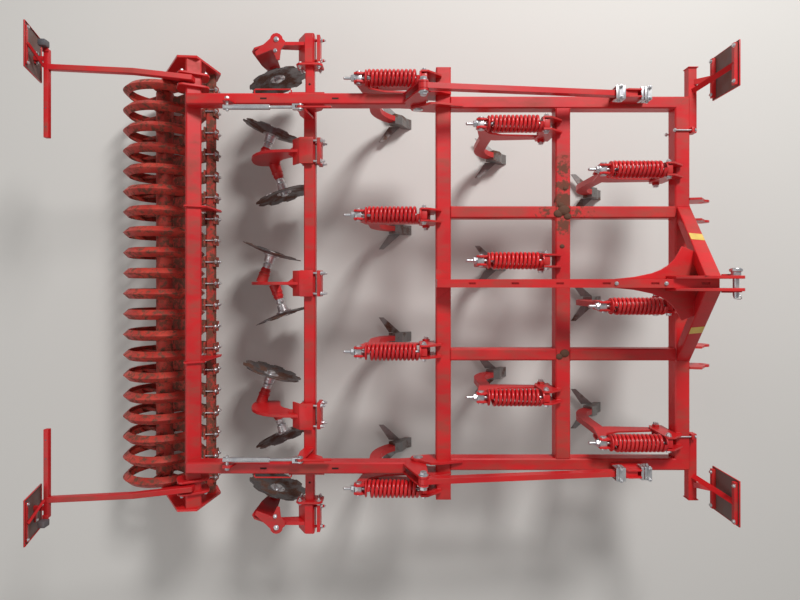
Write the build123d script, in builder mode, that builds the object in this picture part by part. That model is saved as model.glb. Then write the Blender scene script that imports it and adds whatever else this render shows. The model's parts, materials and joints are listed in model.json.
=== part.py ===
from build123d import *
import os
from math import atan2, cos, degrees, pi, radians, sin, tan

# Mounted tine cultivator, 3 m wide, with levelling discs and a ring roller.
# +X is forward, +Y the machine's left, +Z up, all in millimetres.
# The origin lies on the ground under the middle of the whole machine.
# Stations along X are given from the front beam's centre line, forward positive.

os.makedirs("parts", exist_ok=True)

# Clearances
pin_gap = 0.08          # radial gap of a pin in its bore
flat_gap = 1.5          # side gap between plates that turn on one pin
slide_gap = 0.5         # gap round a tube that slides in another
eye_drift = 2.5         # radial play of the depth links' rear eyes
clevis_drift = 4.5      # radial play of the spindle clevises

# Round ends of plates and fixed pins are made with flats
nose_sides = 12
pin_sides = 12
head_sides = 6
housing_sides = 8

# Overall reach from the front beam's centre line
front_reach = 250
rear_reach = 4290
front_x = (rear_reach - front_reach) / 2

# Main frame tubes
frame_z = 900
beam_size = 100
beam_wall = 8
tube_edge = 8
row_pitch = 805
front_half = 1260
rear_half = 1450
cap_thick = 6
side_width = 80
side_y = 1220
inner_width = 80
inner_y = 480

beam_half = beam_size / 2
beam_top = frame_z + beam_half
beam_bottom = frame_z - beam_half
rear_row = -2 * row_pitch
side_in = side_y - side_width / 2
side_out = side_y + side_width / 2

# Headstock: two plates, two box legs and the curved webs
head_gap = 53
head_plate = 18
head_rear = -290
head_pin_x = 12
head_pin_z = 1500
head_pin_r = 15.875
head_flange_r = 33
head_hole_z = 1420
head_hole_r = 16
head_nose_r = 50
head_low_z = 1285
leg_depth = 95
leg_width = 110
leg_foot_y = 500
leg_top_x = -72
leg_top_z = 1500
web_thick = 12
web_z = 1300

# Backstay: a box that rises from the rear beam to the head plates
stay_width = head_gap
stay_height = 100
stay_rear_z = 1000
stay_rise = radians(14.5)
stay_front = -60
stay_foot = 150
slot_front = -128
slot_pitch = 262
slot_count = 6
slot_long = 44
slot_wide = 12

# Lower hitch
hitch_in_y = 430
hitch_out_y = 570
hitch_plate = 15
hitch_hole_x = 200
hitch_hole_z = 815
hitch_hole_r = 18.5
hitch_nose_r = 50

# Tines. Columns: beam, counted from the front, and place along Y. All ten together
# stand at an even 300 mm pitch.
tine_rows = [
    (2, 1350),
    (2, 450),
    (2, -450),
    (2, -1350),
    (1, 1050),
    (1, 150),
    (1, -750),
    (0, 750),
    (0, -150),
    (0, -1050),
]
tines = [(-row * row_pitch, y) for row, y in tine_rows]

# One tine, its stations given from its own beam's centre line
ear_inside = 33
ear_plate = 12
arm_inside = 20
arm_plate = 12
pivot_x = -110
pivot_z = 800
pivot_nut_r = 22
pivot_nut = 16
spring_z = 1030
spring_front = -165
spring_rear = -510
spring_turns = 12
spring_r = 59
spring_valley_r = 45
spring_sides = 6
clevis_x = -135
yoke_x = -565
rod_r = 11
rod_end = -660
rod_nut_r = 22
rod_nut = 34
seat_thick = 24
shank_rear = -525
shank_wide = 80
shank_bend_r = 380
shank_bend_z = 430
shank_foot = radians(48)
share_wide = 80
share_reach = 190
wing_out = 165
wing_thick = 10
wing_z = 62

# Roller frame
arm_y = 1235
arm_width = 75
arm_height = 100
arm_wall = 6
arm_z = 930
arm_front = -1865
depth_x = -1780
depth_z = 900
depth_r = 20
cheek_inside = 20
cheek_plate = 12
cheek_nose_r = 48
link_pin_x = -1756
link_pin_z = 1200
link_pin_r = 15
bracket_plate = 15
bracket_nose_r = 50
roll_beam_x = -3330
roll_beam_z = 860
roll_beam_size = 100
roll_beam_turn = -26
end_plate_y = 1530
end_plate = 15
lug_y = 532
lug_plate = 12

# Roller
axle_x = -3770
ring_r = 300
ring_wide = 42
ring_thick = 14
ring_count = 20
ring_span = 2980
ring_sides = 15
spoke_wide = 32
spoke_thick = 16
spokes = 3
core_r = 66
core_sides = 12
axle_r = 30
bearing_r = 62
bearing_long = 30
axle_z = ring_r
ring_pitch = ring_span / (ring_count - 1)

# Scrapers
scraper_x = -3290
scraper_z = 620
scraper_size = 60
scraper_blade = 84
scraper_thick = 12
scraper_tip_r = 105
clamp_wide = 72
clamp_high = 84

# Disc bar and its spindles
disc_bar_x = -2540
disc_bar_z = 750
disc_bar_size = 80
disc_bar_wall = 8
disc_bar_half = 1275
disc_pivot_x = -2560
disc_pivot_z = 838
disc_pivot_r = 12
disc_lug_wide = 60
hanger_plate = 12
lever_z = 1030
lever_y = 1160
lever_plate = 16
lever_pin_r = 10
spindle_rear_x = -3040
spindle_r = 17
spindle_rod_r = 10
spindle_split_x = -2760

# Discs
disc_r = 230
disc_thick = 6
disc_notches = 10
notch_deep = 26
notch_wide = 52
disc_angle = 19
hub_r = 42
hub_long = 62
stub_r = 15
disc_z = 400
disc_offset = 240
disc_arm_y = [930, 0, -930]
rear_hub_x = -2980
front_hub_x = -2880
disc_arm_plate = 22
shoe_long = 72
shoe_half = 92
shoe_plate = 12
clamp_bar = 28
clamp_bolt_r = 9
clamp_bolt_y = 72

# Sliding outer discs
slide_tube = disc_bar_size - 2 * disc_bar_wall - 2 * slide_gap
slide_wall = 6
slide_in = 1020
slide_out = 1765
flange_y = 1537
flange_plate = 14
housing_in = 1552
housing_out = 1755
slide_arm_y = 1688
slide_arm_plate = 24
angle_bolt_x = -2770
angle_bolt_y = 1711
angle_lug_r = 45
angle_plate = 14
outer_disc_x = -2852
outer_disc_y = 1588
outer_leg_offset = 78
outer_leg_plate = 14

# Depth links and their front stops
link_wide = 35
link_high = 50
link_eye_r = 34
link_drop = radians(6.3)
link_end = 1400
stop_x = -380
stop_half = 110
stop_plate = 10
stop_gap = 0.3
clip_long = 26
clip_side = 14

# Warning panels
panel_size = 282
panel_thick = 4
panel_y = 1363
front_panel_x = 190
front_panel_z = 970
panel_arm = 55
panel_rail = 25
lamp_arm_y = 1375
lamp_arm_size = 45
lamp_bar_x = -4175
lamp_bar_z = 1105
lamp_bar_in = 930
lamp_bar_out = 1500
lamp_clamp_y = (1335, 1415)
rear_panel_y = 1471
rear_panel_z = 1000
rear_panel_lean = 85
panel_bracket_y = 1440
panel_bracket = 30

both_sides = (1, -1)


def upright(x, y, z=0, turn=0):
    """Sketch plane that stands fore and aft: its x runs forward, its y up."""
    lean = radians(turn)
    return Plane(origin=(front_x + x, y, z), x_dir=(cos(lean), 0, sin(lean)), z_dir=(0, -1, 0))


def mirrored(x, *ys):
    """Places at one station, on both sides of the machine."""
    return [(x, side * y) for y in ys for side in both_sides]


def side_plates(places, thick, outline, noses=(), holes=(), bores=(), sides=nose_sides):
    """Plates that stand fore and aft, one at each (station, Y) place.

    The outline holds (forward, height) corners. Noses, holes and bores hold
    (forward, height, radius): a nose is a rounded end, a hole is made with flats and
    a bore is truly round.
    """
    with BuildSketch(*[upright(x, y) for x, y in places]) as face:
        Polygon(*outline, align=None)
        for x, z, r in noses:
            with Locations((x, z)):
                RegularPolygon(r, sides)
        for x, z, r in holes:
            with Locations((x, z)):
                RegularPolygon(r, pin_sides, major_radius=False, mode=Mode.SUBTRACT)
        for x, z, r in bores:
            with Locations((x, z)):
                Circle(r, mode=Mode.SUBTRACT)
    extrude(face.sketch, amount=thick / 2, both=True)


def flat_plate(outline, z_low, thick, noses=()):
    """Level plate, its outline given as (station, Y) corners."""
    with BuildSketch(Plane.XY.offset(z_low)) as face:
        Polygon(*[(front_x + x, y) for x, y in outline], align=None)
        for x, y, r in noses:
            with Locations((front_x + x, y)):
                RegularPolygon(r, nose_sides)
    extrude(face.sketch, amount=thick)


def cross_bars(places, length, radius, sides=pin_sides):
    """Bars with flats along Y, each centred on a (station, Y, height) place."""
    with BuildSketch(*[upright(x, y, z) for x, y, z in places]) as ends:
        RegularPolygon(radius, sides, major_radius=False)
    extrude(ends.sketch, amount=length / 2, both=True)


def round_pins(places, length, radius):
    """Round pins along Y, each centred on a (station, Y, height) place."""
    with BuildSketch(*[upright(x, y, z) for x, y, z in places]) as ends:
        Circle(radius)
    extrude(ends.sketch, amount=length / 2, both=True)


def box_tube(plane, width, height, wall, length):
    """Rectangular tube with its edges taken off, centred on a plane and run both ways."""
    with BuildSketch(plane) as section:
        Rectangle(width, height)
        chamfer(section.vertices(), tube_edge)
        Rectangle(width - 2 * wall, height - 2 * wall, mode=Mode.SUBTRACT)
    extrude(section.sketch, amount=length / 2, both=True)


def block(x_low, x_high, y_low, y_high, z_low, z_high, mode=Mode.ADD):
    """Box between two stations, two places across and two heights."""
    with Locations((front_x + (x_low + x_high) / 2, (y_low + y_high) / 2, (z_low + z_high) / 2)):
        Box(x_high - x_low, y_high - y_low, z_high - z_low, mode=mode)


def bar_between(start, end, width, height):
    """Straight bar between two (station, Y, height) points."""
    low = Vector(front_x + start[0], start[1], start[2])
    high = Vector(front_x + end[0], end[1], end[2])
    run = high - low
    with BuildSketch(Plane(origin=low, x_dir=run.cross(Vector(0, 0, 1)), z_dir=run)) as section:
        Rectangle(width, height)
    extrude(section.sketch, amount=run.length)


def cut_wedge(points):
    """Cuts an upright prism from the part, its plan given as (station, Y) corners."""
    with BuildSketch() as plan:
        Polygon(*[(front_x + x, y) for x, y in points], align=None)
    extrude(plan.sketch, amount=2 * frame_z, mode=Mode.SUBTRACT)


def write(part, name):
    """Labels one finished piece and writes it."""
    part.label = name
    export_step(part, f"parts/{name}.step")


# Cross beams: front, middle and rear, the front one mitred into the side beams
with BuildPart() as cross_beams:
    for station, half in ((0, front_half), (-row_pitch, side_in), (rear_row, rear_half)):
        box_tube(upright(station, 0, frame_z), beam_size, beam_size, beam_wall, 2 * half)
    for side in both_sides:
        cut_wedge([
            (beam_half, side * side_out),
            (-beam_half, side * side_in),
            (-beam_half, side * (side_out + beam_size)),
            (beam_half, side * (side_out + beam_size)),
        ])
        low, high = sorted((side * rear_half, side * (rear_half + cap_thick)))
        block(
            rear_row - beam_half,
            rear_row + beam_half,
            low,
            high,
            beam_bottom,
            beam_top,
        )
write(cross_beams.part, "cross_beams")

# Long beams: the two sides and the inner pairs
rear_face = rear_row + beam_half
with BuildPart() as long_beams:
    side_middle = front_x + (rear_face + beam_half) / 2
    for side in both_sides:
        plane = Plane(origin=(side_middle, side * side_y, frame_z), x_dir=(0, 1, 0), z_dir=(1, 0, 0))
        box_tube(plane, side_width, beam_size, beam_wall, beam_half - rear_face)
        cut_wedge([
            (beam_half, side * side_out),
            (-beam_half, side * side_in),
            (-beam_half, side * (side_in - beam_size)),
            (beam_half, side * (side_in - beam_size)),
        ])
        for row in (0, 1):
            middle = front_x - (row + 0.5) * row_pitch
            plane = Plane(origin=(middle, side * inner_y, frame_z), x_dir=(0, 1, 0), z_dir=(1, 0, 0))
            box_tube(plane, inner_width, beam_size, beam_wall, row_pitch - beam_size)
write(long_beams.part, "long_beams")

# Backstay, with the slots in its top and the gussets at its foot
stay_rear = rear_row - beam_half
stay_half = stay_height / 2 / cos(stay_rise)


def stay_height_at(x):
    """Height of the backstay's centre line at a station."""
    return stay_rear_z + tan(stay_rise) * (x - stay_rear)


with BuildPart() as backstay:
    side_plates(
        [(0, 0)],
        stay_width,
        [
            (stay_rear, beam_top),
            (rear_row + stay_foot, beam_top),
            (rear_row + stay_foot, stay_height_at(rear_row + stay_foot) - stay_half),
            (stay_front, stay_height_at(stay_front) - stay_half),
            (stay_front, stay_height_at(stay_front) + stay_half),
            (stay_rear, stay_height_at(stay_rear) + stay_half),
        ],
    )
    for index in range(slot_count):
        x = slot_front - index * slot_pitch
        top = stay_height_at(x) + stay_half
        with Locations(Location((front_x + x, 0, top), (0, -degrees(stay_rise), 0))):
            Box(slot_long, slot_wide, 24, mode=Mode.SUBTRACT)
    for side in both_sides:
        flat_plate(
            [
                (rear_row + beam_half, side * stay_width / 2),
                (rear_row - beam_half, side * stay_width / 2),
                (rear_row - beam_half, side * (stay_width / 2 + 70)),
                (rear_row - beam_half + 20, side * (stay_width / 2 + 70)),
            ],
            beam_top,
            12,
        )
write(backstay.part, "backstay")

# Mast: two box legs that lean in and back to the head plates, and the curved webs
head_in = head_gap / 2
head_out = head_in + head_plate
with BuildPart() as mast:
    for side in both_sides:
        with BuildSketch(Plane.XY.offset(beam_top)) as foot:
            with Locations((front_x, side * leg_foot_y)):
                Rectangle(leg_depth, leg_width)
        reach = Vector(leg_top_x, side * (head_in - leg_foot_y), leg_top_z - beam_top)
        extrude(foot.sketch, amount=1.2 * reach.length, dir=reach)
        if side > 0:
            block(-400, 200, -leg_foot_y, head_in, head_low_z - 200, leg_top_z + 300, Mode.SUBTRACT)
        else:
            block(-400, 200, -head_in, head_in, head_low_z - 200, leg_top_z + 300, Mode.SUBTRACT)
    side_plates(
        mirrored(0, head_in + head_plate / 2),
        head_plate,
        [
            (head_rear, head_low_z),
            (head_rear, stay_height_at(head_rear) + stay_half + 20),
            (leg_top_x - leg_depth, head_pin_z + head_nose_r),
            (head_pin_x, head_pin_z + head_nose_r),
            (head_pin_x + head_nose_r, head_pin_z),
            (head_pin_x + head_nose_r, head_hole_z),
            (leg_depth / 2, head_low_z),
        ],
        noses=[
            (head_pin_x, head_pin_z, head_nose_r),
            (head_pin_x, head_hole_z, head_nose_r),
        ],
        holes=[(head_pin_x, head_pin_z, head_pin_r + pin_gap)],
        bores=[(head_pin_x, head_hole_z, head_hole_r)],
        sides=2 * nose_sides,
    )
    for side in both_sides:
        with BuildSketch(Plane.XY.offset(web_z - web_thick / 2)) as web:
            with BuildLine():
                Polyline(
                    (front_x - 174, side * 225),
                    (front_x - 95, side * head_out),
                    (front_x + head_rear, side * head_out),
                    (front_x + head_rear, side * stay_width / 2),
                    (front_x - 606, side * stay_width / 2),
                    (front_x - 357, side * 57),
                )
                ThreePointArc(
                    (front_x - 357, side * 57),
                    (front_x - 225, side * 122),
                    (front_x - 174, side * 225),
                )
            make_face()
        extrude(web.sketch, amount=web_thick)
write(mast.part, "mast")

# Lower hitch plates
with BuildPart() as hitch_plates:
    side_plates(
        mirrored(0, hitch_in_y, hitch_out_y),
        hitch_plate,
        [
            (beam_half, beam_top),
            (beam_half, beam_bottom - 110),
            (beam_half + 60, beam_bottom - 110),
            (hitch_hole_x, hitch_hole_z - hitch_nose_r),
            (hitch_hole_x, hitch_hole_z + hitch_nose_r),
            (beam_half + 70, beam_top + 15),
        ],
        noses=[(hitch_hole_x, hitch_hole_z, hitch_nose_r)],
        bores=[(hitch_hole_x, hitch_hole_z, hitch_hole_r)],
    )
write(hitch_plates.part, "hitch_plates")

# Pins of the frame: the top link's with its flanged head, and the roller frame's pivots
bracket_in = cheek_inside + cheek_plate + flat_gap
bracket_mid = bracket_in + bracket_plate / 2
bracket_out = bracket_in + bracket_plate
with BuildPart() as frame_pins:
    cross_bars([(head_pin_x, 0, head_pin_z)], 2 * head_out + 50, head_pin_r)
    cross_bars([(head_pin_x, head_out + 31, head_pin_z)], 14, head_flange_r)
    round_pins(
        [(depth_x, side * arm_y, depth_z) for side in both_sides],
        2 * bracket_out + 16,
        depth_r,
    )
write(frame_pins.part, "frame_pins")

# Brackets behind the rear beam, two plates for each roller arm, the inner ones longer
bracket_top = beam_top + 62
with BuildPart() as depth_brackets:
    for y, reach in ((arm_y - bracket_mid, 130), (arm_y + bracket_mid, beam_half)):
        side_plates(
            mirrored(0, y),
            bracket_plate,
            [
                (stay_rear, beam_bottom - 18),
                (stay_rear, beam_top),
                (rear_row + reach, beam_top),
                (rear_row + reach, beam_top + 14),
                (stay_rear + 20, bracket_top),
                (stay_rear - 40, bracket_top),
                (depth_x, depth_z + bracket_nose_r),
                (depth_x, depth_z - bracket_nose_r),
            ],
            noses=[(depth_x, depth_z, bracket_nose_r)],
            holes=[(depth_x, depth_z, depth_r + pin_gap)],
        )
write(depth_brackets.part, "depth_brackets")


def link_height(x):
    """Height of a depth link's centre line at a station."""
    return link_pin_z - tan(link_drop) * (x - link_pin_x)


# Front stops of the depth links: two plates on each side beam, and the clips over them
stop_in = link_wide / 2 + stop_gap
stop_out = stop_in + stop_plate
with BuildPart() as depth_stops:
    side_plates(
        mirrored(stop_x, arm_y - stop_in - stop_plate / 2, arm_y + stop_in + stop_plate / 2),
        stop_plate,
        [
            (-stop_half, beam_top),
            (-stop_half, link_height(stop_x) - 30),
            (-stop_half + 30, link_height(stop_x) + 20),
            (-40, link_height(stop_x) + 44),
            (40, link_height(stop_x) + 40),
            (stop_half - 30, link_height(stop_x) + 10),
            (stop_half, link_height(stop_x) - 34),
            (stop_half, beam_top),
        ],
    )
write(depth_stops.part, "depth_stops")

link_low = link_high / 2 / cos(link_drop)
with BuildPart() as stop_clips:
    for side in both_sides:
        for x in (stop_x - stop_half + clip_long / 2, stop_x + stop_half - clip_long / 2):
            top = link_height(x) + link_low + 6
            wide = stop_out + clip_side
            x_low = x - clip_long / 2
            x_high = x + clip_long / 2
            middle = side * arm_y
            block(x_low, x_high, middle - wide, middle + wide, top, top + 16)
            block(x_low, x_high, middle - wide, middle - stop_out, top - 60, top)
            block(x_low, x_high, middle + stop_out, middle + wide, top - 60, top)
write(stop_clips.part, "stop_clips")

# Depth links: a flat bar with an eye at the rear pin, sliding through the front stop
for side, name in ((1, "depth_link_left"), (-1, "depth_link_right")):
    with BuildPart() as depth_link:
        front = link_pin_x + link_end
        side_plates(
            [(0, side * arm_y)],
            link_wide,
            [
                (link_pin_x, link_pin_z + link_low),
                (link_pin_x, link_pin_z - link_low),
                (front, link_height(front) - link_low),
                (front, link_height(front) + link_low),
            ],
            noses=[(link_pin_x, link_pin_z, link_eye_r)],
            holes=[(link_pin_x, link_pin_z, link_pin_r + eye_drift)],
        )
    write(depth_link.part, name)

# Tine brackets: two ears over and behind the beam, with the pivot bolts' nuts
with BuildPart() as tine_brackets:
    ears = [(x, y + side * (ear_inside + ear_plate / 2)) for x, y in tines for side in both_sides]
    side_plates(
        ears,
        ear_plate,
        [
            (-beam_half, beam_top),
            (-15, beam_top),
            (-15, beam_top + 30),
            (clevis_x + 24, spring_z + 32),
            (clevis_x - 24, spring_z + 32),
            (pivot_x - 52, pivot_z + 20),
            (pivot_x - 30, pivot_z - 40),
            (-beam_half, pivot_z - 40),
        ],
    )
    nuts = [
        (x + pivot_x, y + side * (ear_inside + ear_plate + pivot_nut / 2), pivot_z)
        for x, y in tines
        for side in both_sides
    ]
    cross_bars(nuts, pivot_nut, pivot_nut_r, head_sides)
write(tine_brackets.part, "tine_brackets")

# Tine arms: twin plates from the pivot back to the yoke, with the pivot tube
with BuildPart() as tine_arms:
    side_plates(
        [(x, y + side * (arm_inside + arm_plate / 2)) for x, y in tines for side in both_sides],
        arm_plate,
        [
            (pivot_x + 24, pivot_z - 34),
            (pivot_x + 24, pivot_z + 34),
            (-400, pivot_z + 62),
            (-500, pivot_z + 120),
            (spring_rear - seat_thick - 2, spring_z - 40),
            (spring_rear - seat_thick - 2, spring_z + 24),
            (yoke_x - 8, spring_z + 34),
            (yoke_x - 30, spring_z + 18),
            (-556, pivot_z + 60),
            (-536, pivot_z - 45),
            (-420, pivot_z - 60),
        ],
    )
    barrels = [(x + pivot_x, y, pivot_z) for x, y in tines]
    cross_bars(barrels, 2 * ear_inside, 26, head_sides)
write(tine_arms.part, "tine_arms")

# Tine shanks: a curved leg, bent forward to the foot
shank_in = shank_bend_r - shank_wide / 2
shank_out = shank_bend_r + shank_wide / 2
bend_x = shank_rear + shank_out


def foot_point(radius, angle):
    """Point on the shank's bend, measured from its upright part towards the foot."""
    return (bend_x + radius * cos(pi + angle), shank_bend_z + radius * sin(pi + angle))


with BuildPart() as tine_shanks:
    with BuildSketch(*[upright(x, y) for x, y in tines]) as shank:
        with BuildLine():
            shank_top = pivot_z + 20
            Polyline(
                (bend_x - shank_in, shank_bend_z),
                (bend_x - shank_in, shank_top),
                (bend_x - shank_out, shank_top),
                (bend_x - shank_out, shank_bend_z),
            )
            ThreePointArc(
                (bend_x - shank_out, shank_bend_z),
                foot_point(shank_out, shank_foot / 2),
                foot_point(shank_out, shank_foot),
            )
            Line(foot_point(shank_out, shank_foot), foot_point(shank_in, shank_foot))
            ThreePointArc(
                foot_point(shank_in, shank_foot),
                foot_point(shank_in, shank_foot / 2),
                (bend_x - shank_in, shank_bend_z),
            )
        make_face()
    extrude(shank.sketch, amount=arm_inside, both=True)
write(tine_shanks.part, "tine_shanks")

# Tine points: a share in front of the shank's foot, with a wing on each side
upper = foot_point(shank_in, shank_foot)
lower = foot_point(shank_out, shank_foot)
tip_x = lower[0] + share_reach
with BuildPart() as tine_points:
    side_plates(
        tines,
        share_wide,
        [
            upper,
            lower,
            (tip_x - 60, 0),
            (tip_x, 0),
            (tip_x - 40, 40),
            (upper[0] + 60, upper[1] - 50),
        ],
    )
    for side in both_sides:
        inner = side * share_wide / 2
        outer = side * wing_out
        with BuildSketch(*[
            Plane(origin=(front_x + x, y, wing_z), x_dir=(1, 0, 0), z_dir=(0, 0, 1)) for x, y in tines
        ]) as wing:
            Polygon(
                (tip_x - 95, inner),
                (tip_x - 235, outer),
                (tip_x - 275, outer),
                (tip_x - 190, inner),
                align=None,
            )
        extrude(wing.sketch, amount=wing_thick)
write(tine_points.part, "tine_points")

# Springs: one coil, ridged at each turn with the slant of its wire, set on every tine
coil_pitch = (spring_front - spring_rear) / spring_turns
with BuildPart() as coil:
    rings = []
    for index in range(2 * spring_turns + 1):
        slant = Vector(-spring_r, coil_pitch / 4, 0)
        if index in (0, 2 * spring_turns):
            slant = Vector(-1, 0, 0)
        with BuildSketch(Plane(
            origin=(spring_front - index * coil_pitch / 2, 0, 0),
            x_dir=(slant.Y, -slant.X, 0),
            z_dir=slant,
        )) as ring:
            RegularPolygon(spring_r if index % 2 else spring_valley_r, spring_sides)
        rings.append(ring.sketch.face())
    loft(rings, ruled=True)
    with BuildSketch(Plane.YZ.offset(spring_rear - 1)) as core:
        RegularPolygon(rod_r + slide_gap, spring_sides, major_radius=False)
    extrude(core.sketch, amount=spring_front - spring_rear + 2, mode=Mode.SUBTRACT)

with BuildPart() as springs:
    with Locations(*[(front_x + x, y, spring_z) for x, y in tines]):
        add(coil.part)
write(springs.part, "springs")

# Spring rods, with the front eye, the rear seat and yoke block, and the nut
with BuildPart() as spring_rods:
    for x_low, x_high, radius, sides in (
        (rod_end, clevis_x, rod_r, spring_sides),
        (rod_end + 8, rod_end + 8 + rod_nut, rod_nut_r, head_sides),
    ):
        with BuildSketch(*[
            Plane(origin=(front_x + x + x_low, y, spring_z), x_dir=(0, 1, 0), z_dir=(1, 0, 0))
            for x, y in tines
        ]) as section:
            RegularPolygon(radius, sides, major_radius=False)
        extrude(section.sketch, amount=x_high - x_low)
    for x_low, x_high, half, high in (
        (spring_front, clevis_x + 22, ear_inside, 24),
        (spring_rear - seat_thick, spring_rear, 36, 34),
        (yoke_x - 26, spring_rear - seat_thick, arm_inside, 24),
    ):
        with Locations(*[(front_x + x + (x_low + x_high) / 2, y, spring_z) for x, y in tines]):
            Box(x_high - x_low, 2 * half, 2 * high)
write(spring_rods.part, "spring_rods")

# Arms and rails of the front warning panels
rail_x = front_panel_x - panel_rail
rail_low = front_panel_z + 12
rail_high = front_panel_z + panel_size - 12 - panel_rail
with BuildPart() as front_panel_arms:
    for side in both_sides:
        arm_rear = beam_half
        arm_fore = beam_half + panel_arm
        low, high = sorted((side * 1020, side * 1460))
        block(arm_rear, arm_fore, low, high, frame_z - 25, frame_z + 30)
        low, high = sorted((side * 1460, side * 1466))
        block(arm_rear - 4, arm_fore + 8, low, high, frame_z - 32, frame_z + 37)
        for z in (rail_low, rail_high):
            low, high = sorted((side * (panel_y - 130), side * (panel_y + 130)))
            block(rail_x, front_panel_x, low, high, z, z + panel_rail)
        bar_between(
            (arm_fore - 20, side * panel_y, frame_z + 20),
            (rail_x + 12, side * panel_y, rail_low + 14),
            36,
            16,
        )
        bar_between(
            (arm_fore - 25, side * (panel_y - 60), frame_z + 20),
            (rail_x + 12, side * panel_y, rail_high + 12),
            34,
            14,
        )
write(front_panel_arms.part, "front_panel_arms")

with BuildPart() as front_panels:
    for side in both_sides:
        low, high = sorted((side * (panel_y - panel_size / 2), side * (panel_y + panel_size / 2)))
        block(
            front_panel_x,
            front_panel_x + panel_thick,
            low,
            high,
            front_panel_z,
            front_panel_z + panel_size,
        )
write(front_panels.part, "front_panels")

# Roller arms: a box tube, with two cheeks at the front up to the depth link's pin
with BuildPart() as roller_arms:
    arm_middle = front_x + (roll_beam_x + arm_front) / 2
    for side in both_sides:
        plane = Plane(origin=(arm_middle, side * arm_y, arm_z), x_dir=(0, 1, 0), z_dir=(1, 0, 0))
        box_tube(plane, arm_width, arm_height, arm_wall, arm_front - roll_beam_x)
    side_plates(
        mirrored(0, arm_y - cheek_inside - cheek_plate / 2, arm_y + cheek_inside + cheek_plate / 2),
        cheek_plate,
        [
            (arm_front - 130, arm_z + arm_height / 2 - arm_wall),
            (arm_front - 20, arm_z + arm_height / 2 - arm_wall),
            (link_pin_x - 34, link_pin_z),
            (link_pin_x + 34, link_pin_z),
            (depth_x + cheek_nose_r, depth_z),
            (depth_x, depth_z - cheek_nose_r),
            (arm_front - 130, arm_z - arm_height / 2 + arm_wall),
        ],
        noses=[(depth_x, depth_z, cheek_nose_r), (link_pin_x, link_pin_z, 34)],
        holes=[
            (depth_x, depth_z, depth_r + pin_gap),
            (link_pin_x, link_pin_z, link_pin_r + pin_gap),
        ],
    )
    with BuildSketch(upright(roll_beam_x, 0, roll_beam_z, roll_beam_turn)) as beam_room:
        Rectangle(roll_beam_size, roll_beam_size)
    extrude(beam_room.sketch, amount=end_plate_y, both=True, mode=Mode.SUBTRACT)
write(roller_arms.part, "roller_arms")

# Roller beam: a square tube turned on edge, from end plate to end plate
roll_plane = upright(roll_beam_x, 0, roll_beam_z, roll_beam_turn)
with BuildPart() as roller_beam:
    box_tube(roll_plane, roll_beam_size, roll_beam_size, beam_wall, 2 * end_plate_y)
write(roller_beam.part, "roller_beam")

# End plates with the bearings, and the lugs that hold the scraper bar
with BuildPart() as end_plates:
    side_plates(
        mirrored(0, end_plate_y + end_plate / 2),
        end_plate,
        [
            (roll_beam_x - 80, roll_beam_z + 75),
            (roll_beam_x + 50, roll_beam_z + 65),
            (scraper_x + 70, scraper_z),
            (scraper_x, scraper_z - 130),
            (axle_x + 40, axle_z - bearing_r),
            (axle_x - bearing_r, axle_z),
            (axle_x - 40, axle_z + bearing_r),
        ],
        noses=[(axle_x, axle_z, bearing_r + 12)],
        holes=[(axle_x, axle_z, axle_r + pin_gap)],
    )
    bearing_y = end_plate_y + end_plate + bearing_long / 2
    cross_bars([(axle_x, side * bearing_y, axle_z) for side in both_sides], bearing_long, bearing_r)
    with BuildSketch(upright(axle_x, 0, axle_z)) as axle_room:
        RegularPolygon(axle_r + pin_gap, pin_sides, major_radius=False)
    extrude(axle_room.sketch, amount=2 * end_plate_y, both=True, mode=Mode.SUBTRACT)
    side_plates(
        mirrored(0, lug_y),
        lug_plate,
        [
            (roll_beam_x - 60, roll_beam_z),
            (roll_beam_x + 90, roll_beam_z),
            (scraper_x + 70, scraper_z),
            (scraper_x + 60, scraper_z - 50),
            (scraper_x - 60, scraper_z - 50),
        ],
    )
    with BuildSketch(roll_plane) as beam_room:
        Rectangle(roll_beam_size, roll_beam_size)
    with BuildSketch(upright(scraper_x, 0, scraper_z)) as bar_room:
        Rectangle(scraper_size, scraper_size)
    for room in (beam_room, bar_room):
        extrude(room.sketch, amount=lug_y + lug_plate, both=True, mode=Mode.SUBTRACT)
write(end_plates.part, "end_plates")

# Scraper bar, and in each gap between the rings a scraper and its clamp plate
with BuildPart() as scraper_bar:
    box_tube(upright(scraper_x, 0, scraper_z), scraper_size, scraper_size, 5, 2 * end_plate_y)
write(scraper_bar.part, "scraper_bar")

with BuildPart() as scrapers:
    gaps = [(0, -ring_span / 2 + (index + 0.5) * ring_pitch) for index in range(ring_count - 1)]
    reach = atan2(scraper_z - axle_z, scraper_x - axle_x)
    scrape_x = axle_x + scraper_tip_r * cos(reach)
    scrape_z = axle_z + scraper_tip_r * sin(reach)
    bar_rear = scraper_x - scraper_size / 2
    bar_front = scraper_x + scraper_size / 2
    side_plates(
        gaps,
        scraper_blade,
        [
            (bar_rear, scraper_z + clamp_high / 2),
            (bar_rear - scraper_thick, scraper_z + clamp_high / 2),
            (bar_rear - scraper_thick, scraper_z - 14),
            (scrape_x, scrape_z),
            (scrape_x + 7, scrape_z - 11),
            (bar_rear, scraper_z - 34),
        ],
    )
    with Locations(*[
        (front_x + bar_front + scraper_thick / 2, y, scraper_z) for x, y in gaps
    ]):
        Box(scraper_thick, clamp_wide, clamp_high)
write(scrapers.part, "scrapers")

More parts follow.
